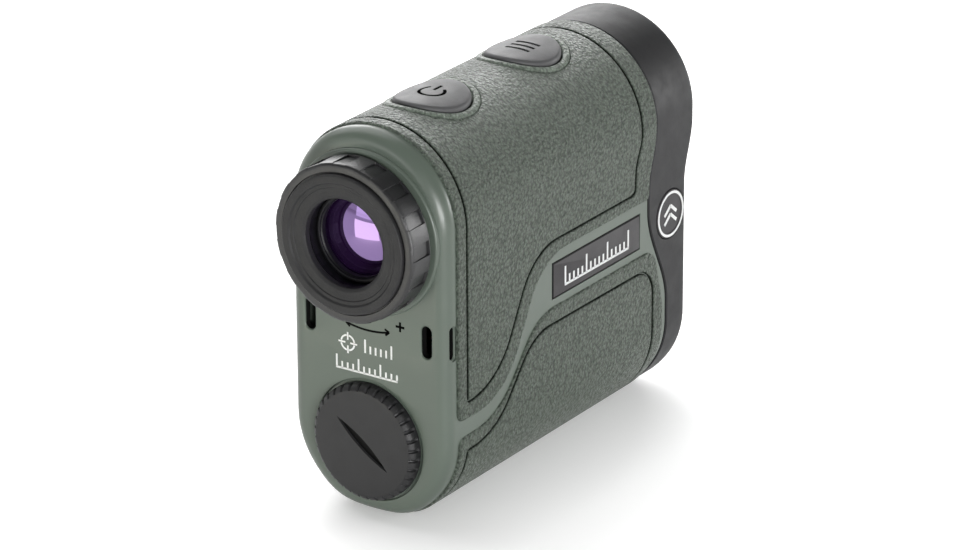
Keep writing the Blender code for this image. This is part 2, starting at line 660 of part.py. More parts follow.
def make_laser():
    barrel = [(8.4, 48.0), (8.4, 78.2), (7.2, 78.2), (7.2, 72.4), (6.2, 72.4), (6.2, 48.0)]
    turned("laser_barrel", scaled(barrel), BLACK_FINISH, LASER_Z, 20)
    glass = lens_profile(LASER_LENS_RADIUS, 72.7 * MM, 73.2 * MM, 75.2 * MM, 76.6 * MM)
    turned("laser_lens", glass, EYE_GLASS_FINISH, LASER_Z, 20)
    turned("laser_retainer", scaled(tube_profile(7.0, 6.3, 76.2, 77.4)), BLACK_FINISH, LASER_Z, 20)
    diode = [(0, 47.7), (2.3, 47.7), (2.3, 46.2), (2.8, 46.2), (2.8, 45.4), (0, 45.4)]
    turned("laser_diode", scaled(diode[::-1]), GOLD_FINISH, LASER_Z, 14)
    board = ((-7 * MM, 44.2 * MM, LASER_Z - 7 * MM), (7 * MM, 45.1 * MM, LASER_Z + 7 * MM))
    block("laser_board", *board, BOARD_FINISH)


def make_main_board():
    block("main_board", (-10.2 * MM, 33 * MM, 17.4 * MM), (-9.2 * MM, 62 * MM, 35.2 * MM), BOARD_FINISH)
    chip = ((-11.7 * MM, 41 * MM, 22 * MM), (-10.4 * MM, 50 * MM, 31 * MM))
    block("processor_chip", *chip, BLACK_FINISH, bevel=0.2 * MM)


def make_battery():
    sleeve = [(9.3, 4.4), (9.3, 31.0), (3.6, 31.0), (3.6, 29.9), (8.1, 29.9), (8.1, 4.4)]
    turned("battery_tube", scaled(sleeve), BLACK_FINISH, BATTERY_Z, 24)
    nub = 1.3 * MM + BATTERY_LENGTH
    cell = [(0, 1.3 * MM), (7.2 * MM, 1.3 * MM), (BATTERY_RADIUS, 1.8 * MM), (BATTERY_RADIUS, nub - 1.6 * MM)]
    cell += [(7.0 * MM, nub - 1.0 * MM), (3.1 * MM, nub - 1.0 * MM), (3.1 * MM, nub), (0, nub)]
    turned("battery", cell, LABEL_FINISH, BATTERY_Z, 24)
    rod("positive_contact", "Y", (0, 0, BATTERY_Z), 28.6 * MM, 29.5 * MM, 6.4 * MM, GOLD_FINISH, sides=20)
    turned("cap_seal", scaled(torus_profile(9.62, 0.42, 1.05)), RUBBER_FINISH, BATTERY_Z, 24)
    cap = [
        (0, -CAP_PROUD), (10.3 * MM, -CAP_PROUD), (CAP_RADIUS, -CAP_PROUD + 0.9 * MM), (CAP_RADIUS, 0.2 * MM),
        (9.05 * MM, 0.2 * MM), (9.05 * MM, 3.5 * MM), (8.1 * MM, 3.5 * MM), (8.1 * MM, -1.0 * MM), (0, -1.0 * MM),
    ]
    turned_cap = turned("battery_cap", cap, BEZEL_FINISH, BATTERY_Z, 36)
    slot = prism("coin_slot", coin_slot_outline(), "Y", -4 * MM, -CAP_PROUD + 0.8 * MM)
    cut(turned_cap, slot)
    rod("cap_contact", "Y", (0, 0, BATTERY_Z), -0.85 * MM, -0.55 * MM, 6.6 * MM, GOLD_FINISH, sides=20)
    make_cap_spring()


def torus_profile(ring_radius, wire_radius, depth, steps=8):
    turn = [2 * math.pi * i / steps for i in range(steps)]
    return [(ring_radius + wire_radius * math.cos(a), depth + wire_radius * math.sin(a)) for a in turn]


def coin_slot_outline():
    """A lens with pointed ends, tilted from the upper left to the lower right."""
    half_length = 6.9 * MM
    half_width = 0.85 * MM
    tilt = math.radians(-38)
    steps = 8
    edge = [-half_length + 2 * half_length * i / steps for i in range(steps + 1)]
    upper = [(a, half_width * (1 - (a / half_length) ** 2)) for a in edge]
    lower = [(a, -b) for a, b in upper[-2:0:-1]]
    outline = []
    for a, b in upper + lower:
        outline.append((a * math.cos(tilt) - b * math.sin(tilt), BATTERY_Z + a * math.sin(tilt) + b * math.cos(tilt)))
    return outline


def make_cap_spring():
    """A flat conical coil between the cap's contact and the cell."""
    turns = 2.5
    steps = 30
    curve = bpy.data.curves.new("cap_spring", "CURVE")
    curve.dimensions = "3D"
    curve.bevel_depth = 0.22 * MM
    curve.bevel_resolution = 1
    curve.use_fill_caps = True
    spline = curve.splines.new("POLY")
    spline.points.add(steps)
    for i in range(steps + 1):
        share = i / steps
        angle = 2 * math.pi * turns * share
        radius = (5.6 - 2.6 * share) * MM
        depth = (-0.2 + 1.1 * share) * MM
        spline.points[i].co = (radius * math.cos(angle), depth, BATTERY_Z + radius * math.sin(angle), 1)
    made = bpy.data.objects.new("cap_spring", curve)
    made.parent = FRAME
    PARTS.objects.link(made)
    curve.materials.append(material(*STEEL_FINISH))


make_housing()
make_armour()
make_bezel()
make_front_frame()
make_buttons()
make_eyepiece()
make_display()
make_prisms()
make_objective()
make_laser()
make_main_board()
make_battery()
bpy.context.view_layer.update()
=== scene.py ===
"""The looks of the pocket laser rangefinder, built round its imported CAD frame.

Shapes are drawn in body coordinates: y = 0 is the flat rear face, +Y runs to the front and +Z is up. Every
made piece has its origin on that rear face, so one offset puts it in the frame. Lengths are in metres, and
MM turns millimetres into them.
"""

import math

import bmesh
import bpy
import numpy as np
from mathutils import Matrix, Vector, geometry


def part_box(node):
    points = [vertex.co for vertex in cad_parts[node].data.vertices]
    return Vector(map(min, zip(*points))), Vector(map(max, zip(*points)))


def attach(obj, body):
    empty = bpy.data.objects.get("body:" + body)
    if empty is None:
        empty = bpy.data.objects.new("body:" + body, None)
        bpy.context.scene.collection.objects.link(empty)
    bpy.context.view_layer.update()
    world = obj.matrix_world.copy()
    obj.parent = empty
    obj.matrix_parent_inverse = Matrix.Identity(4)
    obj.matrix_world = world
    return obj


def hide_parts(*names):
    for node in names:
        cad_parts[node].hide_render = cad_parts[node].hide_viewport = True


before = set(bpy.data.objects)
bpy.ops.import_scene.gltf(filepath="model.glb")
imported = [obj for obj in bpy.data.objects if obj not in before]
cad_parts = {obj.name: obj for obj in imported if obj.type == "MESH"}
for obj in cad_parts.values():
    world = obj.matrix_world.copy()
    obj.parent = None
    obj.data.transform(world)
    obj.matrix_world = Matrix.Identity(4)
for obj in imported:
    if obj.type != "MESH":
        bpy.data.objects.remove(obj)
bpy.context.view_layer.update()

MM = 0.001
TINY = 1e-7

# Sizes read from the frame
COLLAR_HEIGHT = 0.7 * MM
REAR_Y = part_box("main_housing")[0].y + COLLAR_HEIGHT
RIM_HEIGHT = 0.3 * MM
HALF_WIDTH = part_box("lower_armour")[1].x
DOME_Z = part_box("upper_armour")[1].z - RIM_HEIGHT - HALF_WIDTH
FOOT_Z = DOME_Z - 40.4 * MM
BUTTON_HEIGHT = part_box("power_button")[1].z - DOME_Z - HALF_WIDTH


def middle(node):
    """The centre of a CAD node's box, in body coordinates."""
    low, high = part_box(node)
    return (low + high) / 2 - Vector((0, REAR_Y, 0))


EYE_Z = middle("eyecup").z
LASER_Z = middle("laser_barrel").z
BATTERY_Z = middle("battery_cap").z
POWER_Y = middle("power_button").y
MODE_Y = middle("mode_button").y
BADGE = middle("badge_right")
PLATE = middle("nameplate_right")

# Depths below the armour's outer surface
SHELL_INSET = 0.45 * MM
BEZEL_INSET = 0.25 * MM
CAVITY_INSET = 2.75 * MM
BEZEL_CAVITY_INSET = 1.95 * MM
SKIN_DEPTH = 0.6 * MM
GAP = 0.15 * MM

REAR_WALL = 1.8 * MM
REAR_FILLET = 2.7 * MM
FRONT_FILLET = 1.8 * MM
FRONT_WALL = 2.2 * MM
FOOT_SOFTNESS = 1.7 * MM
FOOT_FADE = 6 * MM

BUTTON_HALF_X = 6.95 * MM
BUTTON_HALF_Y = 7.5 * MM
BUTTON_PLAY = 0.3 * MM
BUTTON_FILLET = 0.55 * MM
RIM_WIDTH = 1.7 * MM

DOME_STEPS = 72
FOOT_STEPS = 26
SIDE_STEPS = 40
OUTSIDE = 20 * MM
CUTTER_REACH = 2 * MM


# Section and stations, as in the CAD


def clamped(value):
    return min(1.0, max(0.0, value))


def ease(value, low, high):
    """A smooth step from 0 at low to 1 at high."""
    share = clamped((value - low) / (high - low))
    return share * share * (3 - 2 * share)


def seam_y(z):
    """The seam between the housing and the bezel, a lazy S down the side."""
    chin = (73.7 - 6.6 * ease(z, 21 * MM, 41 * MM)) * MM
    return chin + 2.65 * MM * ease(z, 45 * MM, 57 * MM)


def shell_end(z):
    return seam_y(z) - GAP


def bezel_start(z):
    return seam_y(z) + GAP


def front_y(z):
    return (81.0 + 2.7 * ease(z, 43 * MM, 55 * MM)) * MM


def behind_front(depth):
    return lambda z: front_y(z) - depth


def along_bezel(share):
    """A share of the way from the seam to the front edge's fillet."""
    return lambda z: seam_y(z) + share * (front_y(z) - FRONT_FILLET - seam_y(z))


def arc(centre, radius, start, end, steps):
    turn = [math.radians(start + (end - start) * i / steps) for i in range(steps + 1)]
    return [(centre[0] + radius * math.cos(a), centre[1] + radius * math.sin(a)) for a in turn]


def quarter(steps):
    """A rounded edge in even steps: pairs that run from (0, 1) to (1, 0)."""
    turn = [math.pi / 2 * i / steps for i in range(steps + 1)]
    return [(1 - math.cos(a), 1 - math.sin(a)) for a in turn]


def soft_floor(drop):
    """The height above the body's lowest level of a point that the full circle puts drop above it.

    The circle passes below that level, so the corner that it makes there is rounded off."""
    lowest = FOOT_Z - HALF_WIDTH
    centre = (lowest + math.hypot(lowest, FOOT_SOFTNESS)) / 2
    return (drop + math.hypot(drop, FOOT_SOFTNESS)) / 2 - centre * (1 - ease(drop, 0, FOOT_FADE))


def section(inset):
    """The body's outline in (x, z), inset below the armour's surface, from the right side over the dome."""
    radius = HALF_WIDTH - inset
    rise = (DOME_Z - FOOT_Z) / SIDE_STEPS
    foot = arc((0, FOOT_Z), radius, 180, 360, 2 * FOOT_STEPS)
    outline = arc((0, DOME_Z), radius, 0, 180, DOME_STEPS)
    outline += [(-radius, DOME_Z - rise * i) for i in range(1, SIDE_STEPS)]
    outline += [(x, inset + soft_floor(z - inset)) for x, z in foot]
    outline += [(radius, FOOT_Z + rise * i) for i in range(1, SIDE_STEPS)]
    return outline


def rounded(corners, steps=14):
    """A line of (a, b, radius) corners, with an arc in place of each corner that has a radius."""
    outline = []
    for i, (a, b, radius) in enumerate(corners):
        corner = Vector((a, b))
        if not radius:
            outline.append((a, b))
            continue
        before = (Vector(corners[i - 1][:2]) - corner).normalized()
        after = (Vector(corners[(i + 1) % len(corners)][:2]) - corner).normalized()
        half = before.angle(after) / 2
        centre = corner + (before + after).normalized() * radius / math.sin(half)
        start = corner + before * radius / math.tan(half) - centre
        end = corner + after * radius / math.tan(half) - centre
        sweep = start.angle_signed(end)
        for k in range(steps + 1):
            outline.append(tuple(centre + Matrix.Rotation(-sweep * k / steps, 2) @ start))
    return outline


def rounded_mm(corners, steps=5):
    """The same for corners in millimetres."""
    return rounded([(a * MM, b * MM, radius * MM) for a, b, radius in corners], steps)


def circle(centre_a, centre_b, radius, steps=96):
    turn = [2 * math.pi * i / steps for i in range(steps)]
    return [(centre_a + radius * math.cos(a), centre_b + radius * math.sin(a)) for a in turn]


def oval(y, half_x, half_y, steps):
    return [(half_x * a, y + half_y * b) for a, b in circle(0, 0, 1, steps)]


def obround(low_a, high_a, low_b, high_b, steps=12):
    """An upright slot outline with round ends."""
    radius = (high_a - low_a) / 2
    centre = (low_a + high_a) / 2
    top = arc((centre, high_b - radius), radius, 0, 180, steps)
    return top + arc((centre, low_b + radius), radius, 180, 360, steps)


def rectangle(low_a, high_a, low_b, high_b):
    return [(low_a, low_b), (high_a, low_b), (high_a, high_b), (low_a, high_b)]


# Mesh helpers


def to_mesh(bm, name):
    """The bmesh as a mesh with its normals outwards. The bmesh is used up."""
    bmesh.ops.recalc_face_normals(bm, faces=bm.faces)
    mesh = bpy.data.meshes.new(name)
    bm.to_mesh(mesh)
    bm.free()
    return mesh


def linked(name, data):
    made = bpy.data.objects.new(name, data)
    bpy.context.scene.collection.objects.link(made)
    return made


def settle(name, mesh, finish, body, smooth):
    """An object in body coordinates, shaded smooth up to an angle and riding on its body."""
    made = linked(name, mesh)
    made.location = (0, REAR_Y, 0)
    mesh.materials.clear()
    mesh.materials.append(finish)
    mesh.shade_smooth()
    mesh.set_sharp_from_angle(angle=math.radians(smooth))
    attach(made, body)
    return made


def place(name, bm, finish, body, smooth):
    return settle(name, to_mesh(bm, name), finish, body, smooth)


def darken(mesh, in_shade):
    """Gives the faces whose centre the test accepts the near-black recess material, as painted shade."""
    mesh.materials.append(SHADE_BLACK)
    for face in mesh.polygons:
        if in_shade(face.center):
            face.material_index = len(mesh.materials) - 1


def bridge(bm, loops):
    """Quads between neighbouring closed loops of equal length."""
    count = len(loops[0])
    for near, far in zip(loops, loops[1:]):
        for i in range(count):
            j = (i + 1) % count
            bm.faces.new((near[i], near[j], far[j], far[i]))


def enclose(bm, loops):
    """A closed body through the loops."""
    bridge(bm, loops)
    bm.faces.new(loops[0])
    bm.faces.new(loops[-1])


def loft_mesh(rings):
    """A closed body through rings of (inset, y), where y is a number or a function of z."""
    bm = bmesh.new()
    loops = []
    for inset, station in rings:
        points = [(x, station(z) if callable(station) else station, z) for x, z in section(inset)]
        loops.append([bm.verts.new(point) for point in points])
    enclose(bm, loops)
    return bm


AXIS_SPREAD = {
    "X": lambda a, b, along: (along, a, b),
    "Y": lambda a, b, along: (a, along, b),
    "Z": lambda a, b, along: (a, b, along),
}


def stack(layers, axis, bm=None):
    """A closed body through (outline, position along the axis) layers, all outlines with as many points."""
    bm = bm or bmesh.new()
    spread = AXIS_SPREAD[axis]
    enclose(bm, [[bm.verts.new(spread(a, b, along)) for a, b in outline] for outline, along in layers])
    return bm


def prism(outline, axis, start, end):
    return stack([(outline, start), (outline, end)], axis)


def grown(outline, distance):
    """The closed outline moved outwards by a distance, counter-clockwise outlines growing."""
    points = [Vector(p) for p in outline]
    moved = []
    for i, point in enumerate(points):
        ahead = (points[(i + 1) % len(points)] - point).normalized()
        behind = (point - points[i - 1]).normalized()
        normal = Vector((behind.y + ahead.y, -behind.x - ahead.x)).normalized()
        stretch = max(0.3, normal.dot(Vector((ahead.y, -ahead.x))))
        moved.append(tuple(point + normal * distance / stretch))
    return moved


def flared(outline, axis, bottom, surface, outward, radius, steps=6):
    """A cutter for a hole with a rounded mouth, from bottom to a surface that lies towards outward."""
    layers = [(outline, bottom), (outline, surface - outward * radius)]
    for wide, deep in quarter(steps)[1:]:
        layers.append((grown(outline, radius * wide), surface - outward * radius * deep))
    layers.append((layers[-1][0], surface + outward * CUTTER_REACH))
    return stack(layers, axis)


def carved(bm, cutters, added=()):
    """The mesh with the added bodies joined to it and the cutters taken off."""
    target = linked("target", to_mesh(bm, "target"))
    tools = []
    for operation, shapes in (("UNION", added), ("DIFFERENCE", cutters)):
        for shape in shapes:
            tools.append(linked("tool", to_mesh(shape, "tool")))
            step = target.modifiers.new(operation.lower(), "BOOLEAN")
            step.operation = operation
            step.object = tools[-1]
            step.solver = "MANIFOLD"
    bpy.context.view_layer.update()
    result = bpy.data.meshes.new_from_object(target.evaluated_get(bpy.context.evaluated_depsgraph_get()))
    for item in [target] + tools:
        bpy.data.objects.remove(item, do_unlink=True)
    return result


def turned_mesh(profile, z, turns, radial=None):
    """A body turned about a line along Y at height z. The profile of (radius, y) closes on itself, unless it
    starts and ends on the axis. turns is a number of even steps or a list of angles, and radial(radius, y,
    angle) may move a point in or out."""
    angles = turns if isinstance(turns, list) else [2 * math.pi * i / turns for i in range(turns)]
    bm = bmesh.new()
    rows = []
    for radius, y in profile:
        if radius == 0:
            rows.append([bm.verts.new((0, y, z))])
            continue
        row = []
        for angle in angles:
            reach = radial(radius, y, angle) if radial else radius
            row.append(bm.verts.new((reach * math.cos(angle), y, z + reach * math.sin(angle))))
        rows.append(row)
    if profile[0][0] > 0:
        rows.append(rows[0])
    for near, far in zip(rows, rows[1:]):
        for i in range(len(angles)):
            j = (i + 1) % len(angles)
            corners = [near[i % len(near)], near[j % len(near)], far[j % len(far)], far[i % len(far)]]
            bm.faces.new(list(dict.fromkeys(corners)))
    return bm


def turned_piece(name, node, corners, z, turns, finish, body):
    """A turned piece from (radius, y, fillet) corners in millimetres, in place of a CAD node."""
    made = place(name, turned_mesh(rounded_mm(corners), z, turns), finish, body, 30)
    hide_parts(node)


def lens_piece(name, node, radius, rear, front, z, rings, turns, finish, body):
    """A lens in millimetres. Each face is its y on the axis and how far ahead of that its rim lies."""
    faces = []
    for y, sag in (rear, front):
        faces.append([(radius * i / rings * MM, (y + sag * (i / rings) ** 2) * MM) for i in range(rings + 1)])
    made = place(name, turned_mesh(faces[0] + faces[1][::-1], z, turns), finish, body, 40)
    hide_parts(node)


# Materials


class Nodes:
    """A short way to wire a material: its methods return the socket that the next one takes."""

    def __init__(self, name):
        self.material = bpy.data.materials.new(name)
        self.material.use_nodes = True
        self.tree = self.material.node_tree
        self.shader = self.tree.nodes["Principled BSDF"]
        self.coordinates = self.tree.nodes.new("ShaderNodeTexCoord").outputs["Object"]

    def feed(self, socket, value):
        """Links another socket, or sets a number, a vector or a colour."""
        if isinstance(value, bpy.types.NodeSocket):
            self.tree.links.new(value, socket)
        elif socket.type == "RGBA":
            socket.default_value = (*value, 1.0)
        else:
            socket.default_value = value

    def add(self, kind, inputs=(), **settings):
        node = self.tree.nodes.new(kind)
        for key, value in settings.items():
            setattr(node, key, value)
        for key, value in dict(inputs).items():
            self.feed(node.inputs[key], value)
        return node

    def set(self, name, value):
        self.feed(self.shader.inputs[name], value)

    def noise(self, size, detail=3.0, roughness=0.55, vector=None):
        """Noise with features of about that size."""
        inputs = {"Vector": vector or self.coordinates, "Scale": 1 / size}
        inputs.update({"Detail": detail, "Roughness": roughness})
        return self.add("ShaderNodeTexNoise", inputs).outputs["Fac"]

    def cells(self, size, feature, vector, **more):
        """How far each point lies from the middle of its cell."""
        inputs = {"Vector": vector, "Scale": 1 / size, **more}
        return self.add("ShaderNodeTexVoronoi", inputs, feature=feature).outputs["Distance"]

    def stretched(self, x, y, z):
        """Object coordinates multiplied along each axis, for grain that runs one way."""
        inputs = {"Vector": self.coordinates, "Scale": (x, y, z)}
        return self.add("ShaderNodeMapping", inputs).outputs["Vector"]

    def math(self, operation, a, b=0.0):
        return self.add("ShaderNodeMath", {0: a, 1: b}, operation=operation).outputs[0]

    def span(self, value, low, high, to_low, to_high):
        inputs = {"Value": value, "From Min": low, "From Max": high, "To Min": to_low, "To Max": to_high}
        return self.add("ShaderNodeMapRange", inputs).outputs["Result"]

    def blend(self, share, first, second):
        """A colour between two colours or colour sockets."""
        return self.add("ShaderNodeMix", {0: share, 6: first, 7: second}, data_type="RGBA").outputs[2]

    def bump(self, height, depth):
        """Height from 0 to 1, depth in metres."""
        node = self.add("ShaderNodeBump", {"Height": height, "Distance": depth, "Strength": 1.0})
        self.set("Normal", node.outputs["Normal"])


def scaled_colour(colour, share):
    return tuple(min(1.0, c * share) for c in colour)


def moulded(name, colour, roughness, grain, depth, variation, specular=0.5):
    """Injection-moulded plastic: a fine spark texture, slow colour drift and faintly uneven gloss."""
    n = Nodes(name)
    drift = n.noise(9 * MM, 4.0)
    speck = n.noise(grain, 2.0)
    mixed = n.math("ADD", n.math("MULTIPLY", drift, 0.6), n.math("MULTIPLY", speck, 0.4))
    tone = n.blend(mixed, scaled_colour(colour, 1 - variation), scaled_colour(colour, 1 + variation))
    n.set("Base Color", tone)
    n.set("Roughness", n.span(n.noise(3 * MM, 3.0), 0.3, 0.7, roughness - 0.05, roughness + 0.05))
    n.set("Specular IOR Level", specular)
    n.bump(speck, depth)
    return n.material


GREEN = (0.106, 0.132, 0.108)
ARMOUR_GREEN = (0.134, 0.168, 0.132)
PEBBLE_SIZE = 0.66 * MM
CREASE_SIZE = 0.46 * MM
GRAIN_DEPTH = 1.9 * MM


def leather_height(n):
    """The leather grain's height: soft pebbles with fine creases, both bent by a slow warp."""
    warp = n.noise(1.6 * MM, 2.0)
    shift = n.add("ShaderNodeCombineXYZ", {"X": warp, "Y": warp, "Z": warp}).outputs[0]
    shift = n.add("ShaderNodeVectorMath", {0: shift, "Scale": 0.25 * MM}, operation="SCALE").outputs[0]
    bent = n.add("ShaderNodeVectorMath", {0: n.coordinates, 1: shift}, operation="ADD").outputs[0]
    pebble = n.cells(PEBBLE_SIZE, "SMOOTH_F1", bent, Smoothness=0.30)
    crease = n.noise(CREASE_SIZE, 3.0, 0.60, bent)
    fine = n.noise(0.14 * MM, 2.0, 0.6)
    pebbled = n.math("SUBTRACT", 1.0, n.math("MULTIPLY", pebble, 1.25))
    height = n.math("ADD", n.math("MULTIPLY", pebbled, 0.45), n.math("MULTIPLY", crease, 0.75))
    return n.math("ADD", height, n.math("MULTIPLY", fine, 0.15))


def leather_rubber():
    """Soft green rubber with a leather grain, calmer on the rims round the buttons; painted shade in the
    grain and the grooves.
    """
    n = Nodes("armour_rubber")
    height = leather_height(n)
    calm = n.add("ShaderNodeAttribute", attribute_name="calm").outputs["Fac"]
    hollow = n.add("ShaderNodeAttribute", attribute_name="hollow").outputs["Fac"]
    lively = n.math("SUBTRACT", 1.0, n.math("MULTIPLY", calm, 0.75))
    n.bump(n.math("MULTIPLY", height, lively), GRAIN_DEPTH)
    # Base colour darker where the grain is low and lighter where it is high: painted shade and light on the
    # grain.
    shade = n.span(height, 0.46, 0.84, 0.0, 1.0)
    tone = n.blend(shade, scaled_colour(ARMOUR_GREEN, 0.58), scaled_colour(ARMOUR_GREEN, 1.34))
    slow = n.span(n.noise(14 * MM, 3.0), 0.3, 0.7, 0.0, 1.0)
    tone = n.blend(n.math("MULTIPLY", slow, 0.18), tone, scaled_colour(ARMOUR_GREEN, 0.80))
    # Painted shade in the grooves: near black there, and almost no reflection (next lines).
    n.set("Base Color", n.blend(n.math("MULTIPLY", hollow, 0.9), tone, (0.004, 0.005, 0.004)))
    n.set("Roughness", n.span(height, 0.46, 0.84, 0.46, 0.30))
    n.set("Specular IOR Level", n.span(hollow, 0, 1, 0.42, 0.02))
    return n.material


def brushed(name, colour, roughness):
    """Machined metal with fine lines across it."""
    n = Nodes(name)
    lines = n.noise(0.12 * MM, 2.0, vector=n.stretched(1, 8, 1))
    n.set("Base Color", n.blend(lines, scaled_colour(colour, 0.82), colour))
    n.set("Metallic", 1.0)
    n.set("Roughness", n.span(lines, 0.3, 0.7, roughness - 0.06, roughness + 0.10))
    n.bump(lines, 0.01 * MM)
    return n.material


def circuit_board():
    """Green solder mask over faint tracks, with bright pads."""
    n = Nodes("solder_mask")
    grid = {"Vector": n.coordinates, "Scale": 260.0, "Mortar Size": 0.018}
    tones = {"Color1": (0.0, 0.0, 0.0), "Color2": (0.1, 0.1, 0.1), "Mortar": (1.0, 1.0, 1.0)}
    tracks = n.add("ShaderNodeTexBrick", {**grid, **tones}).outputs["Color"]
    pads = n.span(n.cells(1.9 * MM, "F1", n.coordinates, Randomness=0.75), 0.16, 0.20, 1.0, 0.0)
    mask = n.blend(n.span(n.noise(2 * MM), 0.3, 0.7, 0, 1), (0.012, 0.075, 0.035), (0.018, 0.105, 0.050))
    mask = n.blend(n.math("MULTIPLY", tracks, 0.5), mask, (0.04, 0.20, 0.10))
    n.set("Base Color", n.blend(pads, mask, (0.75, 0.70, 0.52)))
    n.set("Metallic", pads)
    n.set("Roughness", n.span(pads, 0, 1, 0.38, 0.28))
    n.bump(n.math("ADD", tracks, pads), 0.02 * MM)
    return n.material


def optical_glass(name, colour, tint, index):
    """A coated lens over a dark interior: a deep base and a tinted mirror-like reflection."""
    n = Nodes(name)
    cloud = n.span(n.noise(5 * MM, 2.0), 0.3, 0.7, 0.0, 1.0)
    n.set("Base Color", n.blend(cloud, scaled_colour(colour, 0.85), colour))
    n.set("Roughness", n.span(n.noise(1.2 * MM, 2.0), 0.3, 0.7, 0.015, 0.035))
    n.set("IOR", index)
    n.set("Specular Tint", tint)
    n.set("Coat Weight", 0.15)
    n.set("Coat Roughness", 0.02)
    return n.material


def clear_glass():
    """Polished glass with faint wisps, for the prisms and plain lenses."""
    n = Nodes("polished_glass")
    wisps = n.noise(4 * MM, 3.0)
    n.set("Base Color", n.blend(wisps, (0.80, 0.88, 0.92), (0.92, 0.97, 0.98)))
    n.set("Roughness", n.span(wisps, 0.3, 0.7, 0.01, 0.04))
    n.set("Transmission Weight", 0.85)
    n.set("IOR", 1.52)
    return n.material


def printed_ink(name, colour):
    """Matt ink, slightly uneven."""
    n = Nodes(name)
    worn = n.noise(0.3 * MM, 3.0)
    n.set("Base Color", n.blend(worn, scaled_colour(colour, 0.90), colour))
    n.set("Roughness", n.span(worn, 0.3, 0.7, 0.42, 0.58))
    n.set("Specular IOR Level", 0.0)
    n.bump(worn, 0.01 * MM)
    return n.material


SHELL = moulded("shell_green", GREEN, 0.34, 0.20 * MM, 0.010 * MM, 0.06)
ARMOUR = leather_rubber()
CHARCOAL = moulded("charcoal_shell", (0.018, 0.018, 0.019), 0.56, 0.24 * MM, 0.020 * MM, 0.10, 0.28)
BLACK = moulded("black_barrel", (0.012, 0.012, 0.013), 0.50, 0.20 * MM, 0.012 * MM, 0.15)
RING = moulded("ring_black", (0.014, 0.014, 0.015), 0.40, 0.30 * MM, 0.045 * MM, 0.20)
CUP = moulded("cup_rubber", (0.019, 0.019, 0.020), 0.56, 0.34 * MM, 0.060 * MM, 0.22, 0.30)
CAP = moulded("cap_charcoal", (0.017, 0.017, 0.018), 0.50, 0.20 * MM, 0.014 * MM, 0.08, 0.35)
GREY = moulded("trim_grey", (0.075, 0.075, 0.077), 0.58, 0.26 * MM, 0.030 * MM, 0.22)
PLATE_GREY = moulded("plate_grey", (0.040, 0.038, 0.040), 0.55, 0.30 * MM, 0.020 * MM, 0.15, 0.3)
DEEP = moulded("lens_mount_black", (0.004, 0.004, 0.005), 0.45, 0.20 * MM, 0.008 * MM, 0.2, 0.25)
# Near-black material for painted shade inside the slots, the coin slot and round the nameplate.
SHADE_BLACK = moulded("recess_shade_black", (0.003, 0.003, 0.003), 0.70, 0.25 * MM, 0.010 * MM, 0.2, 0.15)
STEEL = brushed("turned_steel", (0.55, 0.55, 0.56), 0.30)
BRASS = brushed("contact_gold", (0.76, 0.56, 0.26), 0.28)
BOARD = circuit_board()
COATED = optical_glass("coated_lens", (0.022, 0.008, 0.040), (0.62, 0.42, 0.92), 3.2)
FRONT_COATED = optical_glass("front_coated_lens", (0.010, 0.014, 0.024), (0.45, 0.75, 0.60), 2.2)
GLASS = clear_glass()
JACKET = moulded("cell_jacket", (0.62, 0.64, 0.66), 0.35, 0.3 * MM, 0.006 * MM, 0.06)
WHITE_INK = printed_ink("white_ink", (0.94, 0.95, 0.94))
BLACK_INK = printed_ink("black_ink", (0.006, 0.006, 0.006))

SLOT_FINISH = {
    "green_shell": SHELL, "green_armour": ARMOUR, "charcoal_plastic": CHARCOAL, "black_plastic": BLACK,
    "black_rubber": CUP, "grey_trim": GREY, "coated_glass": COATED, "clear_glass": GLASS, "steel": STEEL,
    "contact_brass": BRASS, "circuit_board": BOARD, "battery_jacket": JACKET,
}


def finish_cad_nodes():
    """The CAD pieces that stay keep their shapes and get the finish of their material slot."""
    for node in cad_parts.values():
        for slot in node.material_slots:
            slot.material = SLOT_FINISH[slot.material.name.split(".")[0]]
    for name in ("ocular_cell", "eyepiece_barrel"):
        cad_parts[name].material_slots[0].material = DEEP


# Armour: a skin drawn flat in (t, y), where t runs round the section from the dome's foot, and wrapped on
# the body

SIDE = DOME_Z - FOOT_Z
TOP_T = HALF_WIDTH * math.pi / 2
BOTTOM_T = -SIDE - HALF_WIDTH * math.pi / 2

EDGE_RADIUS = 0.55 * MM
GROOVE_HALF = 0.44 * MM
GROOVE_DEPTH = 0.50 * MM
# How far from a groove's middle the painted black shade reaches, and how soft its edge is.
GROOVE_SHADE_HALF = 0.36 * MM
GROOVE_SHADE_FADE = 0.12 * MM
CREASE_DEPTH = 0.13 * MM
CREASE_WIDTH = 0.22 * MM
RIM_FADE = 0.3 * MM

# Distances from the edge, the groove and the button rims at which the skin has points
EDGE_STEPS = [s * MM for s in (0, 0.03, 0.10, 0.22, 0.38, 0.60)]
GROOVE_STEPS = [s * MM for s in (0, 0.12, 0.24, 0.34, 0.46)]
RIM_STEPS = [s * MM for s in (0.06, 0.16, 0.35, 0.60, 0.85, 1.08, 1.24, 1.34, 1.42, 1.60)]
FINE = 0.42 * MM
WINDOW_FINE = 0.36 * MM
COARSE = 1.15 * MM


def side_t(z):
    """How far round the section a height on the body's side lies."""
    if z > DOME_Z:
        return HALF_WIDTH * math.asin(min(1.0, (z - DOME_Z) / HALF_WIDTH))
    if z > FOOT_Z:
        return z - DOME_Z
    return -SIDE - HALF_WIDTH * math.asin(min(1.0, (FOOT_Z - z) / HALF_WIDTH))


def wrapped(t, y, height):
    """The point on the body at (t, y), raised by height above the armour's surface."""
    radius = HALF_WIDTH + height
    if t > 0:
        turn = t / HALF_WIDTH
        return (radius * math.cos(turn), y, DOME_Z + radius * math.sin(turn))
    if t > -SIDE:
        return (radius, y, DOME_Z + t)
    turn = (-t - SIDE) / HALF_WIDTH
    return (radius * math.cos(turn), y, soft_floor(FOOT_Z - radius * math.sin(turn) + height) - height)


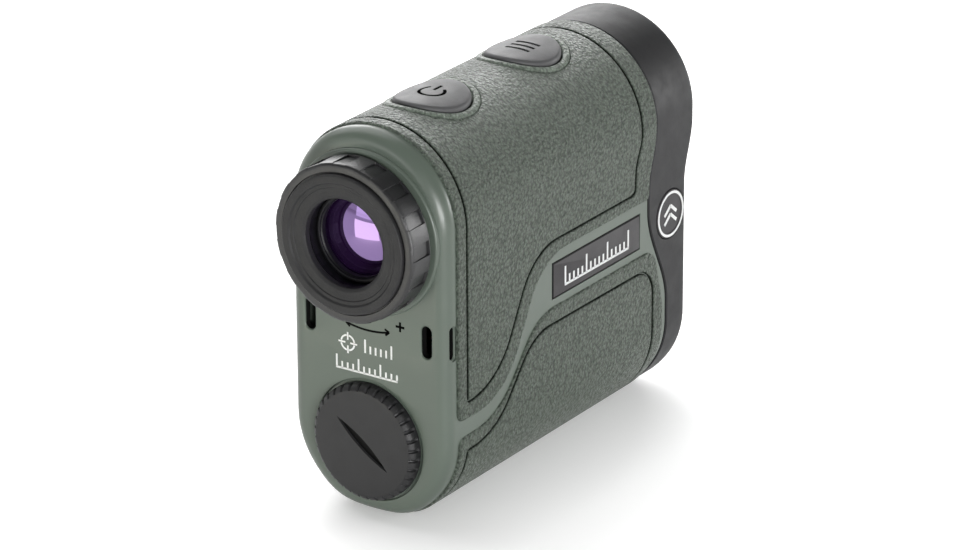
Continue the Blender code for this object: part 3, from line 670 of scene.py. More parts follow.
def even(line, spacing):
    """The open line walked in equal steps of about that spacing, so that short arc pieces merge."""
    walked = [0.0]
    for (a0, b0), (a1, b1) in zip(line, line[1:]):
        walked.append(walked[-1] + math.hypot(a1 - a0, b1 - b0))
    count = max(1, round(walked[-1] / spacing))
    stations = np.linspace(0, walked[-1], count + 1)
    a = np.interp(stations, walked, [p[0] for p in line])
    b = np.interp(stations, walked, [p[1] for p in line])
    return list(zip(a.tolist(), b.tolist()))


def distances(points, line):
    """The distance from each point to the nearest part of an open line."""
    p = np.array(points)[:, None, :]
    start = np.array(line[:-1])[None, :, :]
    step = np.array(line[1:])[None, :, :] - start
    length = np.maximum((step ** 2).sum(-1), 1e-18)
    share = np.clip(((p - start) * step).sum(-1) / length, 0, 1)
    return np.sqrt((((start + share[..., None] * step) - p) ** 2).sum(-1)).min(1)


def offset_line(line, distance):
    """The line moved sideways, to its left when the distance is positive."""
    points = np.array(line)
    ahead = np.gradient(points, axis=0)
    ahead /= np.maximum(np.linalg.norm(ahead, axis=1, keepdims=True), 1e-12)
    return points + distance * np.stack([-ahead[:, 1], ahead[:, 0]], axis=1)


def unrolled(corners):
    """The (t, y) line through (y, z, radius) corners in millimetres."""
    return [(side_t(z), y) for y, z in rounded_mm(corners, 14)]


def climb(start, count, station):
    """The (t, y) points above a height, half a millimetre apart, where station gives y at each height."""
    heights = [start + i * 0.5 * MM for i in range(1, count + 1)]
    return [(side_t(z), station(z)) for z in heights]


def upper_outline():
    """The upper armour's edge from the mirror plane at the rear, down, along the long S and up the seam."""
    line = unrolled([
        (3.1, 57, 0), (3.1, 20.9, 1.8), (18.3, 20.9, 15), (30.8, 43.5, 13),
        (shell_end(43.5 * MM) / MM, 43.5, 0.9), (shell_end(48 * MM) / MM, 48, 0),
    ])
    line += climb(48 * MM, 18, shell_end)
    return [(TOP_T, 3.1 * MM)] + line + [(TOP_T, shell_end(DOME_Z + HALF_WIDTH))]


def upper_groove():
    """The stitched-in groove that follows the upper armour's edge."""
    line = unrolled([
        (6.1, 57, 0), (6.1, 24.2, 0.5), (15.7, 24.2, 15), (27.8, 46.1, 13), (62.1, 46.1, 1.4), (62.2, 50, 0),
    ])
    line += climb(50 * MM, 15, lambda z: 62.2 * MM + 2.2 * MM * ease(z, 50 * MM, 57.4 * MM))
    return [(TOP_T, 6.1 * MM)] + line + [(TOP_T, 64.4 * MM)]


def lower_outline():
    """The lower armour's edge from the mirror plane at the front, up and back along the lower S."""
    line = unrolled([
        (72.1, 5, 0), (72.1, 21, 10), (69.0, 32.85, 4), (29.3, 32.85, 12), (16.4, 17.9, 16), (3.6, 17.6, 1.5),
        (3.6, 5, 0),
    ])
    return [(BOTTOM_T, 72.1 * MM)] + line + [(BOTTOM_T, 3.6 * MM)]


def lower_groove():
    """The groove that follows the lower armour's edge."""
    line = unrolled([
        (68.4, 5, 0), (68.4, 29.6, 5.4), (27.8, 29.8, 12), (14.8, 14.8, 16), (6.2, 14.6, 0.5), (5.9, 5, 0),
    ])
    return [(BOTTOM_T, 68.4 * MM)] + line + [(BOTTOM_T, 5.9 * MM)]


def button_edge(y):
    """Half of a button window on the unrolled dome, from the rear of the mirror plane to its front."""
    half_x = BUTTON_HALF_X + BUTTON_PLAY
    half_y = BUTTON_HALF_Y + BUTTON_PLAY
    half_oval = arc((0, 0), 1, -90, 90, 72)
    line = [(TOP_T - HALF_WIDTH * math.asin(half_x * a / HALF_WIDTH), y + half_y * b) for a, b in half_oval]
    return even(line, WINDOW_FINE)


def bead(s):
    """The section of the rim round a button: a round bead with a crease where it meets the armour."""
    width = RIM_WIDTH - BUTTON_PLAY
    if s >= width:
        return -CREASE_DEPTH * max(0.0, 1 - (s - width) / CREASE_WIDTH)
    share = (s / width - 0.5) * 2
    return -CREASE_DEPTH + (RIM_HEIGHT + CREASE_DEPTH) * math.sqrt(max(0.0, 1 - abs(share) ** 2.6))


def skin_height(edge, groove, rim):
    """Height above the armour's nominal surface from the distances to its edge, groove and button rims."""
    height = 0.0
    if edge < EDGE_RADIUS:
        short = EDGE_RADIUS - edge
        height -= (EDGE_RADIUS - math.sqrt(max(0.0, EDGE_RADIUS ** 2 - short ** 2))) * 0.9
    if groove < GROOVE_HALF:
        height -= GROOVE_DEPTH * (0.5 + 0.5 * math.cos(math.pi * groove / GROOVE_HALF))
    if rim < RIM_WIDTH + RIM_FADE:
        height += bead(rim)
    return height


def triangulated(boundary, inner):
    """Triangles inside a closed boundary through the inner points too: points, faces, the boundary's ids."""
    points = [Vector(p) for p in boundary] + [Vector(p) for p in inner]
    count = len(boundary)
    edges = [(i, (i + 1) % count) for i in range(count)]
    verts, _, faces, origins, _, _ = geometry.delaunay_2d_cdt(points, edges, [], 1, TINY)
    ring = [None] * count
    for new, olds in enumerate(origins):
        for old in olds:
            if old < count:
                ring[old] = new
    return [tuple(v) for v in verts], faces, ring


def inside(points, polygon):
    """Which points lie inside a closed polygon, by crossings."""
    p = np.array(points)
    poly = np.array(polygon)
    result = np.zeros(len(p), bool)
    for (a0, b0), (a1, b1) in zip(poly, np.roll(poly, -1, axis=0)):
        crosses = (b0 > p[:, 1]) != (b1 > p[:, 1])
        span = b1 - b0 if b1 != b0 else 1e-18
        result ^= crosses & (p[:, 0] < (a1 - a0) * (p[:, 1] - b0) / span + a0)
    return result


def mirror_stations(lines):
    """Places along the mirror plane: coarse steps, with the fine steps of each line that crosses it."""
    low, high = sorted((lines[0][0][0][1], lines[0][0][-1][1]))
    found = list(np.linspace(low, high, max(2, round((high - low) / COARSE)) + 1))
    for line, steps, _ in lines:
        for crossing in (line[0][1], line[-1][1]):
            found += [crossing + sign * step for step in steps for sign in (1, -1)]
    kept = []
    for value in sorted(found):
        if low <= value <= high and (not kept or value - kept[-1] > 0.02 * MM):
            kept.append(value)
    kept[0] = low
    kept[-1] = high
    return kept


def skin_boundary(lines, mirror_t):
    """The half skin's closed boundary: along its edge and back along the mirror plane, round each window."""
    edge = lines[0][0]
    back = [(mirror_t, y) for y in mirror_stations(lines)[1:-1]]
    for window, _, _ in lines[2:]:
        before = [p for p in back if p[1] < window[0][1] - TINY]
        after = [p for p in back if p[1] > window[-1][1] + TINY]
        back = before + window + after
    if edge[-1][1] > edge[0][1]:
        back.reverse()
    return edge + back


def points_beside(lines, boundary, mirror_t):
    """Points on both sides of each line at its steps, without those that a bend brings closer to the line."""
    edge = lines[0][0]
    kept = []
    for line, steps, _ in lines:
        for step in steps:
            for sign in (1, -1) if step else (1,):
                points = offset_line(line, sign * step)
                clear = inside(points, boundary) & (np.abs(points[:, 0] - mirror_t) > 0.12 * MM)
                clear &= distances(points, line) > step - 0.015 * MM
                clear &= distances(points, edge) > 0.02 * MM
                kept += [tuple(p) for p in points[clear]]
    return kept


def points_between(lines, boundary, mirror_t):
    """A staggered grid of points inside the boundary, clear of the lines."""
    low = np.array(boundary).min(0)
    high = np.array(boundary).max(0)
    grid = np.array([
        (t + (0.5 * COARSE if row % 2 else 0), y)
        for row, y in enumerate(np.arange(low[1], high[1], COARSE * 0.87))
        for t in np.arange(low[0], high[0], COARSE)
    ])
    grid = grid[inside(grid, boundary)]
    clear = np.abs(grid[:, 0] - mirror_t) > 0.5 * MM
    for line, _, reach in lines:
        clear &= distances(grid, line) > reach
    return [tuple(p) for p in grid[clear]]


def make_skin(name, outline, groove, windows, mirror_t):
    """One armour skin: the half on the right side, mirrored to the left."""
    edge = even(outline, FINE)
    groove = even(groove, FINE)
    arcs = [button_edge(y) for y in windows]
    # Each line with the steps beside it that have points, and how far off the plain grid starts
    lines = [(edge, EDGE_STEPS, 0.95 * MM), (groove, GROOVE_STEPS, 0.80 * MM)]
    lines += [(window, RIM_STEPS, 2.1 * MM) for window in arcs]
    boundary = skin_boundary(lines, mirror_t)
    grid = points_between(lines, boundary, mirror_t)
    outer, outer_faces, ring = triangulated(boundary, points_beside(lines, boundary, mirror_t) + grid)
    under, under_faces, under_ring = triangulated(boundary, grid[::5])
    edge_gaps = distances(outer, edge)
    groove_gaps = distances(outer, groove)
    rim_gaps = np.full(len(outer), 1.0)
    for window in arcs:
        rim_gaps = np.minimum(rim_gaps, distances(outer, window))
    bm = bmesh.new()
    calm = bm.verts.layers.float.new("calm")
    hollow = bm.verts.layers.float.new("hollow")
    top = []
    for (t, y), edge_gap, groove_gap, rim_gap in zip(outer, edge_gaps, groove_gaps, rim_gaps):
        vertex = bm.verts.new(wrapped(t, y, skin_height(edge_gap, groove_gap, rim_gap)))
        vertex[calm] = clamped((RIM_WIDTH - rim_gap) / RIM_FADE)
        # The groove mask: how strongly the painted shade in a groove covers this point.
        vertex[hollow] = clamped((GROOVE_SHADE_HALF - groove_gap) / GROOVE_SHADE_FADE)
        top.append(vertex)
    bottom = [bm.verts.new(wrapped(t, y, -SKIN_DEPTH)) for t, y in under]
    for face in outer_faces:
        bm.faces.new([top[i] for i in face])
    for face in under_faces:
        bm.faces.new([bottom[i] for i in reversed(face)])
    for i in range(len(boundary)):
        j = (i + 1) % len(boundary)
        if any(abs(boundary[k][0] - mirror_t) >= TINY for k in (i, j)):
            bm.faces.new((top[ring[i]], bottom[under_ring[i]], bottom[under_ring[j]], top[ring[j]]))
    mirror(bm)
    return place(name, bm, ARMOUR, "body", 50)


def mirror(bm):
    """Adds the left half and joins it along x = 0."""
    for vertex in bm.verts:
        if abs(vertex.co.x) < TINY:
            vertex.co.x = 0
    copy = bmesh.ops.duplicate(bm, geom=bm.verts[:] + bm.edges[:] + bm.faces[:])["geom"]
    for item in copy:
        if isinstance(item, bmesh.types.BMVert):
            item.co.x = -item.co.x
    faces = [item for item in copy if isinstance(item, bmesh.types.BMFace)]
    bmesh.ops.reverse_faces(bm, faces=faces)
    seam = [v for v in bm.verts if v.co.x == 0]
    bmesh.ops.remove_doubles(bm, verts=seam, dist=TINY)


def make_armour():
    upper = make_skin("armour_upper", upper_outline(), upper_groove(), (POWER_Y, MODE_Y), TOP_T)
    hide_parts("upper_armour")
    lower = make_skin("armour_lower", lower_outline(), lower_groove(), (), BOTTOM_T)
    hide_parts("lower_armour")


# Shell and bezel

SLOT_Z = (33.6 * MM, 39.8 * MM)
SLOT_X = (11.6 * MM, 13.8 * MM)
SIDE_SLOT_Y = (1.6 * MM, 2.95 * MM)
COLLAR_RADIUS = 15.75 * MM
COLLAR_FILLET = 0.45 * MM
COLLAR_ROOT = 1.5 * MM
EYE_BORE = 12.5 * MM
CAP_SEAT_RADIUS = 11.65 * MM
SEAL_SEAT_RADIUS = 10.25 * MM
BATTERY_BORE = 9.4 * MM
OBJECTIVE_OPENING = 11.3 * MM
LASER_OPENING = 7.7 * MM
BADGE_OPENING = 4.95 * MM
BADGE_FLOOR = 16.45 * MM
SCREW_OPENING = 1.6 * MM


def in_slot(spot):
    """Whether a face's centre lies inside a lanyard slot, past its rounded mouth."""
    if not SLOT_Z[0] - 0.01 * MM < spot.z < SLOT_Z[1] + 0.01 * MM:
        return False
    x = abs(spot.x)
    rear = SLOT_X[0] - 0.02 * MM < x < SLOT_X[1] + 0.02 * MM and 0.36 * MM < spot.y < 3.2 * MM
    side = SLOT_X[0] < x < HALF_WIDTH - SHELL_INSET - 0.75 * MM and 1.5 * MM < spot.y < 3.1 * MM
    return rear or side


def collar():
    """The round collar behind the focus ring."""
    profile = [(0, COLLAR_ROOT), (COLLAR_RADIUS, COLLAR_ROOT)]
    for wide, deep in quarter(6):
        profile.append((COLLAR_RADIUS - COLLAR_FILLET * wide, -COLLAR_HEIGHT + COLLAR_FILLET * deep))
    return turned_mesh(profile + [(0, -COLLAR_HEIGHT)], EYE_Z, 144)


def rear_openings():
    """The eyepiece's bore and the battery cap's stepped seat."""
    return [
        prism(circle(0, EYE_Z, EYE_BORE), "Y", -3 * MM, 5 * MM),
        flared(circle(0, BATTERY_Z, CAP_SEAT_RADIUS), "Y", 0.5 * MM, 0, -1, 0.3 * MM),
        prism(circle(0, BATTERY_Z, BATTERY_BORE), "Y", -3 * MM, 5 * MM),
        prism(circle(0, BATTERY_Z, SEAL_SEAT_RADIUS), "Y", -3 * MM, 1.6 * MM),
    ]


def side_openings(side):
    """A lanyard slot's rear and side mouths, and the nameplate's seat."""
    low, high = sorted((side * SLOT_X[0], side * SLOT_X[1]))
    surface = side * (HALF_WIDTH - SHELL_INSET - 0.35 * MM)
    plate_low, plate_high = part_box("nameplate_right")
    rear = plate_low.y - REAR_Y - GAP
    front = plate_high.y - REAR_Y + GAP
    seat = rectangle(rear, front, plate_low.z - GAP, plate_high.z + GAP)
    return [
        flared(obround(low, high, *SLOT_Z), "Y", 3 * MM, 0, -1, 0.35 * MM),
        flared(obround(*SIDE_SLOT_Y, *SLOT_Z), "X", side * SLOT_X[0], surface, side, 0.30 * MM),
        prism(seat, "X", side * (PLATE.x - 0.65 * MM), side * OUTSIDE),
    ]


def button_opening(y):
    return prism(oval(y, BUTTON_HALF_X + BUTTON_PLAY, BUTTON_HALF_Y + BUTTON_PLAY, 64), "Z", 60 * MM, 95 * MM)


def make_shell():
    """The green housing: a hollow tube with a rounded rear edge, a collar and its openings."""
    rings = [
        (CAVITY_INSET, REAR_WALL),
        (CAVITY_INSET, shell_end),
        (SHELL_INSET + 0.15 * MM, shell_end),
        (SHELL_INSET, lambda z: shell_end(z) - 0.15 * MM),
    ]
    rings += [(SHELL_INSET, 60 * MM - i * 9.5 * MM) for i in range(7)]
    rings += [(SHELL_INSET + REAR_FILLET * wide, REAR_FILLET * deep) for wide, deep in quarter(14)]
    openings = rear_openings() + side_openings(1) + side_openings(-1)
    openings += [button_opening(POWER_Y), button_opening(MODE_Y)]
    mesh = carved(loft_mesh(rings), openings, [collar()])
    made = settle("shell", mesh, SHELL, "body", 32)
    # Painted shade: the lanyard slots' inner walls and floors get the near-black recess material.
    darken(made.data, in_slot)
    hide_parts("main_housing")


def badge_seat(side):
    """The round seat of a badge and the screw opening in its floor."""
    surface = side * (HALF_WIDTH - BEZEL_INSET)
    screw = circle(BADGE.y, BADGE.z, SCREW_OPENING, 32)
    return [
        flared(circle(BADGE.y, BADGE.z, BADGE_OPENING), "X", side * BADGE_FLOOR, surface, side, 0.18 * MM),
        prism(screw, "X", side * 15 * MM, side * OUTSIDE),
    ]


def make_bezel():
    """The charcoal front: a hollow cap with a rounded front edge, two openings and the badges' seats."""
    rings = [
        (BEZEL_CAVITY_INSET, behind_front(FRONT_WALL)),
        (BEZEL_CAVITY_INSET, bezel_start),
        (BEZEL_INSET + 0.2 * MM, bezel_start),
        (BEZEL_INSET, lambda z: bezel_start(z) + 0.2 * MM),
        (BEZEL_INSET, along_bezel(0.35)),
        (BEZEL_INSET, along_bezel(0.7)),
    ]
    for wide, deep in quarter(12):
        rings.append((BEZEL_INSET + FRONT_FILLET * wide, behind_front(FRONT_FILLET * deep)))
    openings = [
        flared(circle(0, EYE_Z, OBJECTIVE_OPENING), "Y", 70 * MM, front_y(EYE_Z), 1, 0.8 * MM),
        flared(circle(0, LASER_Z, LASER_OPENING), "Y", 70 * MM, front_y(LASER_Z), 1, 0.7 * MM),
    ]
    mesh = carved(loft_mesh(rings), openings + badge_seat(1) + badge_seat(-1))
    made = settle("bezel", mesh, CHARCOAL, "body", 32)
    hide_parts("front_bezel")


# Marks: thin strokes, drawn as outlines in a plane


def bar(a0, b0, a1, b1, width):
    """A straight stroke's outline between two points, counter-clockwise."""
    along = Vector((a1 - a0, b1 - b0)).normalized() * 0.5
    across = Vector((-along.y, along.x)) * width
    start = Vector((a0, b0))
    end = Vector((a1, b1))
    return [tuple(start - across), tuple(end - across), tuple(end + across), tuple(start + across)]


def spoke(centre, turn, near, far, width):
    """A straight stroke on a line through a centre at a turn in degrees, between two distances from it."""
    a = math.cos(math.radians(turn))
    b = math.sin(math.radians(turn))
    return bar(centre[0] + near * a, centre[1] + near * b, centre[0] + far * a, centre[1] + far * b, width)


def ticks(start, pitch, base, heights, width):
    """Upright strokes on a base line, one for each height."""
    places = [start + i * pitch for i in range(len(heights))]
    return [bar(a, base, a, base + height, width) for a, height in zip(places, heights)]


def ring_strip(centre, radius, width, start, end, steps):
    """A curved stroke: part of a ring, as one closed outline."""
    outer = arc(centre, radius + width / 2, start, end, steps)
    inner = arc(centre, radius - width / 2, start, end, steps)
    return outer + inner[::-1]


def strokes(name, outlines, axis, low, high, finish, slot):
    """Printed or moulded marks on the body: each outline from low to high along the axis, in one piece."""
    bm = bmesh.new()
    for outline in outlines:
        stack([(outline, low), (outline, high)], axis, bm)
    place(name, bm, finish, "body", 30)


# Side trim: a nameplate with a scale, and a badge with a ring and two chevrons

SCALE_LENGTH = 21.5 * MM
SCALE_STEPS = 15
SCALE_STROKE = 0.46 * MM
SCALE_BASE = 1.9 * MM
CHEVRON_HALF = 2.1 * MM
CHEVRON_DROP = 1.7 * MM


def side_depths(node):
    """How far a side piece's inner and outer faces lie from the middle plane."""
    low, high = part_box(node)
    return sorted((abs(low.x), abs(high.x)))


def make_plate(side, tag):
    low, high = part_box(f"nameplate_{tag}")
    inner, outer = side_depths(f"nameplate_{tag}")
    sides = rectangle(low.y - REAR_Y, high.y - REAR_Y, low.z, high.z)
    corners = rounded([(a, b, 0.3 * MM) for a, b in sides], 4)
    edge = grown(corners, -0.26 * MM)
    layers = [(corners, side * inner), (corners, side * (outer - 0.12 * MM)), (edge, side * outer)]
    plate = place(f"plate_{tag}", stack(layers, "X"), PLATE_GREY, "body", 25)
    # Painted shade: the plate's inner face, sides and chamfered edge get the near-black recess material.
    darken(plate.data, lambda spot: abs(spot.x) < outer - 0.01 * MM)
    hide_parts(f"nameplate_{tag}")
    start = PLATE.y - SCALE_LENGTH / 2
    base = PLATE.z - SCALE_BASE
    heights = [(3.6 if i % 5 == 0 else 1.7) * MM for i in range(SCALE_STEPS + 1)]
    marks = ticks(start, SCALE_LENGTH / SCALE_STEPS, base, heights, SCALE_STROKE)
    marks.append(bar(start - 0.15 * MM, base, start + SCALE_LENGTH + 0.15 * MM, base, SCALE_STROKE))
    lift = (side * (outer - 0.01 * MM), side * (outer + 0.05 * MM))
    strokes(f"plate_scale_{tag}", marks, "X", *sorted(lift), WHITE_INK, "grey_trim")


def make_badge(side, tag):
    low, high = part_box(f"badge_{tag}")
    inner, outer = side_depths(f"badge_{tag}")
    radius = (high.z - low.z) / 2
    centre = (BADGE.y, BADGE.z)
    profile = (
        (0, inner), (0, outer - 0.2 * MM), (0.06 * MM, outer - 0.06 * MM), (0.2 * MM, outer),
        (0.95 * MM, outer), (1.05 * MM, outer - 0.12 * MM),
    )
    layers = [(circle(*centre, radius - inset), side * depth) for inset, depth in profile]
    disc = place(f"disc_{tag}", stack(layers, "X"), PLATE_GREY, "body", 25)
    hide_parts(f"badge_{tag}")
    rim = [ring_strip(centre, radius - 0.52 * MM, 0.5 * MM, start, start + 180, 40) for start in (0, 180)]
    lift = (side * (outer - 0.05 * MM), side * (outer + 0.03 * MM))
    strokes(f"disc_ring_{tag}", rim, "X", *sorted(lift), WHITE_INK, "grey_trim")
    chevrons = []
    for tip in (BADGE.z + 1.7 * MM, BADGE.z - 0.05 * MM):
        for hand in (1, -1):
            chevrons.append(bar(BADGE.y, tip, BADGE.y + hand * CHEVRON_HALF, tip - CHEVRON_DROP, 0.62 * MM))
    sunk = (side * (outer - 0.16 * MM), side * (outer - 0.04 * MM))
    strokes(f"disc_chevrons_{tag}", chevrons, "X", *sorted(sunk), WHITE_INK, "grey_trim")


def make_trim():
    for side, tag in ((1, "right"), (-1, "left")):
        make_plate(side, tag)
        make_badge(side, tag)


# Buttons

ENGRAVING = 0.16 * MM
INLAY_BOTTOM = 0.30 * MM
INLAY_TOP = 0.07 * MM


def on_dome(x, height):
    """The z of a point above the armour's dome."""
    return DOME_Z + math.sqrt((HALF_WIDTH + height) ** 2 - x * x)


def symbol_solid(outlines, low, high):
    """Outlines in (x, y), each made of two facing runs of points, between two heights above the dome."""
    bm = bmesh.new()
    for outline in outlines:
        loops = [[bm.verts.new((x, y, on_dome(x, height))) for x, y in outline] for height in (low, high)]
        bridge(bm, loops)
        last = len(outline) - 1
        for loop in loops:
            for i in range(last // 2):
                bm.faces.new((loop[i], loop[i + 1], loop[last - 1 - i], loop[last - i]))
    bmesh.ops.triangulate(bm, faces=bm.faces[:])
    bmesh.ops.recalc_face_normals(bm, faces=bm.faces[:])
    return bm


def make_button(name, node, y, outlines):
    """An oval plug with a crowned top and rounded edges, and its engraved symbol filled with black."""
    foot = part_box(node)[0].z
    profile = [(0.0, -1.9 * MM), (0.0, -BUTTON_FILLET)]
    profile += [(BUTTON_FILLET * wide, -BUTTON_FILLET * deep) for wide, deep in quarter(7)[1:]]
    outline = oval(y, BUTTON_HALF_X, BUTTON_HALF_Y, 96)
    points = [[(x, along, foot) for x, along in outline]]
    for inset, drop in profile:
        outline = oval(y, BUTTON_HALF_X - inset, BUTTON_HALF_Y - inset, 96)
        points.append([(x, along, on_dome(x, BUTTON_HEIGHT + drop)) for x, along in outline])
    for share in (0.82, 0.64, 0.46, 0.28, 0.12):
        half_x = (BUTTON_HALF_X - BUTTON_FILLET) * share
        half_y = (BUTTON_HALF_Y - BUTTON_FILLET) * share
        points.append([(x, along, on_dome(x, BUTTON_HEIGHT)) for x, along in oval(y, half_x, half_y, 96)])
    bm = bmesh.new()
    enclose(bm, [[bm.verts.new(point) for point in row] for row in points])
    floor = BUTTON_HEIGHT - ENGRAVING
    cutters = [symbol_solid([outline], floor, BUTTON_HEIGHT + CUTTER_REACH / 2) for outline in outlines]
    made = settle(name, carved(bm, cutters), GREY, node, 30)
    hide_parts(node)
    inlay = symbol_solid(outlines, BUTTON_HEIGHT - INLAY_BOTTOM, BUTTON_HEIGHT - INLAY_TOP)
    place(f"{name}_symbol", inlay, BLACK_INK, node, 30)


def power_symbol(y):
    """A ring that is open at the front, and an upright stroke in the opening."""
    ring = ring_strip((0, y), 2.35 * MM, 0.66 * MM, 90 + 38, 450 - 38, 40)
    return [ring, bar(0, y + 0.6 * MM, 0, y + 3.2 * MM, 0.66 * MM)]


def mode_symbol(y):
    """Three bars across the button."""
    return [bar(-2.6 * MM, y + dy * MM, 2.6 * MM, y + dy * MM, 0.72 * MM) for dy in (-1.8, 0, 1.8)]


# Eyepiece

PADS = 16
PAD_START = math.radians(-3)
PAD_REAR = -6.7 * MM
PAD_FRONT = -1.95 * MM
PAD_MIN_RADIUS = 14.7 * MM


def ring_relief(radius, y, angle):
    """Sixteen shallow pockets round the ring, deepest at their front end."""
    share = ((angle - PAD_START) * PADS / (2 * math.pi)) % 1.0
    if radius < PAD_MIN_RADIUS or y > PAD_FRONT or not 0.06 < share < 0.52:
        return radius
    run = (y - PAD_REAR) / (PAD_FRONT - PAD_REAR)
    return radius - (0.10 + 0.32 * max(0.0, run)) * MM


def pad_angles():
    """Angles with a close pair at each pocket wall, so that the walls stay crisp."""
    shares = (0.0, 0.055, 0.07, 0.14, 0.22, 0.30, 0.38, 0.46, 0.51, 0.525, 0.62, 0.72, 0.82, 0.91)
    return [PAD_START + 2 * math.pi * (k + share) / PADS for k in range(PADS) for share in shares]


def make_focus_ring():
    """The ribbed ring, from its rear edge along the ribbed side and back through its bore."""
    profile = [(14.15, -7.1), (14.5, -7.06), (14.8, -6.93), (14.95, -6.75)]
    profile += [(15.0, y) for y in (-6.5, -6.0, -5.2, -4.4, -3.6, -2.9, -2.0, -1.9, -1.7)]
    profile += [(14.85, -1.5), (14.6, -1.45), (12.5, -1.45), (12.5, -5.4), (10.7, -5.4), (10.7, -6.8)]
    profile += [(13.3, -6.8), (13.3, -7.0), (13.42, -7.1)]
    profile = [(radius * MM, y * MM) for radius, y in profile]
    mesh = turned_mesh(profile, EYE_Z, pad_angles(), ring_relief)
    ring = place("focus_ring", mesh, RING, "focus_ring", 28)
    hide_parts("diopter_ring")


def make_eyepiece():
    make_focus_ring()
    cup = [
        (13.1, -7.0, 0), (13.1, -7.85, 0.45), (11.55, -7.85, 0.32), (11.25, -7.5, 0.08), (10.65, -7.5, 0.10),
        (10.5, -7.3, 0.08), (9.0, -7.2, 0.8), (8.35, -6.85, 0.30), (8.35, -5.6, 0.1), (9.0, -5.3, 0.1),
        (10.3, -5.3, 0), (10.3, -7.0, 0),
    ]
    turned_piece("eye_shade", "eyecup", cup, EYE_Z, 160, CUP, "focus_ring")
    lens_piece("lens_eye", "eye_lens", 8.35, (-2.9, 1.65), (2.0, -1.4), EYE_Z, 16, 128, COATED, "ocular")
    seat = [
        (8.4, -3.5, 0.1), (8.4, -1.9, 0), (7.5, -1.9, 0.1), (7.5, -2.9, 0.1), (7.75, -3.1, 0.1),
        (7.75, -3.4, 0.1), (8.0, -3.5, 0.1),
    ]
    turned_piece("retainer_eye", "ocular_retainer", seat, EYE_Z, 128, DEEP, "ocular")


def make_retainer(name, node, outer, inner, low, high, z):
    """A flat ring in front of a lens, with a chamfered bore."""
    corners = [
        (outer, low, 0), (outer, high, 0.1), (inner + 0.25, high, 0.08), (inner, high - 0.5, 0.08),
        (inner, low, 0.1),
    ]
    turned_piece(name, node, corners, z, 112, BLACK, "body")


def make_front_optics():
    lens_piece("lens_objective", "objective_lens", 10.65, (72.3, 0.7), (77.4, -1.8), EYE_Z, 14, 128,
               FRONT_COATED, "body")
    lens_piece("lens_laser", "laser_lens", 6.95, (72.7, 0.5), (76.6, -1.4), LASER_Z, 12, 112,
               FRONT_COATED, "body")
    make_retainer("retainer_objective", "objective_retainer", 10.7, 9.9, 76.6, 77.8, EYE_Z)
    make_retainer("retainer_laser", "laser_retainer", 7.0, 6.3, 76.2, 77.4, LASER_Z)
    barrel = [
        (12.0, 48.6, 0.2), (12.0, 76.4, 0), (12.8, 76.4, 0), (12.8, 78.4, 0.2), (11.1, 78.4, 0.15),
        (10.9, 77.9, 0.1), (10.9, 72.0, 0), (9.9, 72.0, 0), (9.9, 48.6, 0.2),
    ]
    turned_piece("barrel_objective", "objective_barrel", barrel, EYE_Z, 112, BLACK, "body")
    barrel = [
        (8.4, 48.0, 0.2), (8.4, 78.2, 0.2), (7.35, 78.2, 0.15), (7.2, 77.6, 0.1), (7.2, 72.4, 0),
        (6.2, 72.4, 0), (6.2, 48.0, 0.2),
    ]
    turned_piece("barrel_laser", "laser_barrel", barrel, LASER_Z, 96, BLACK, "body")


# Battery cap

NOTCHES = 36
NOTCH_END = -0.2 * MM
NOTCH_MIN_RADIUS = 10.35 * MM
NOTCH_DEPTH = 0.42 * MM
CAP_TOP = -2.3 * MM
COIN_HALF_LENGTH = 6.9 * MM
COIN_HALF_WIDTH = 0.85 * MM
COIN_TILT = math.radians(-38)
COIN_STEPS = 24


def cap_relief(radius, y, angle):
    """Notches round the cap's chamfered rim."""
    if y > NOTCH_END or radius < NOTCH_MIN_RADIUS:
        return radius
    share = (angle * NOTCHES / (2 * math.pi)) % 1.0
    dip = max(0.0, math.sin(math.pi * (share - 0.3) / 0.4)) if 0.3 < share < 0.7 else 0.0
    fade = min(1.0, (NOTCH_END - y) / (0.5 * MM))
    return radius - NOTCH_DEPTH * dip ** 0.6 * fade


def coin_slot(grow=0.0):
    """The coin slot's outline: a tilted lens shape with pointed ends, wider by grow."""
    half_length = COIN_HALF_LENGTH + grow
    half_width = COIN_HALF_WIDTH + grow
    run = [-half_length + 2 * half_length * i / COIN_STEPS for i in range(COIN_STEPS + 1)]
    upper = [(a, half_width * (1 - (a / half_length) ** 2)) for a in run]
    lower = [(a, -b) for a, b in upper[1:-1]]
    cos = math.cos(COIN_TILT)
    sin = math.sin(COIN_TILT)
    return [(a * cos - b * sin, BATTERY_Z + a * sin + b * cos) for a, b in upper[::-1] + lower]


def in_coin_slot(spot):
    """Whether a face's centre lies on the floor or the deeper walls of the coin slot."""
    deep = CAP_TOP + 0.3 * MM < spot.y < CAP_TOP + 0.9 * MM
    return deep and math.hypot(spot.x, spot.z - BATTERY_Z) < 7 * MM


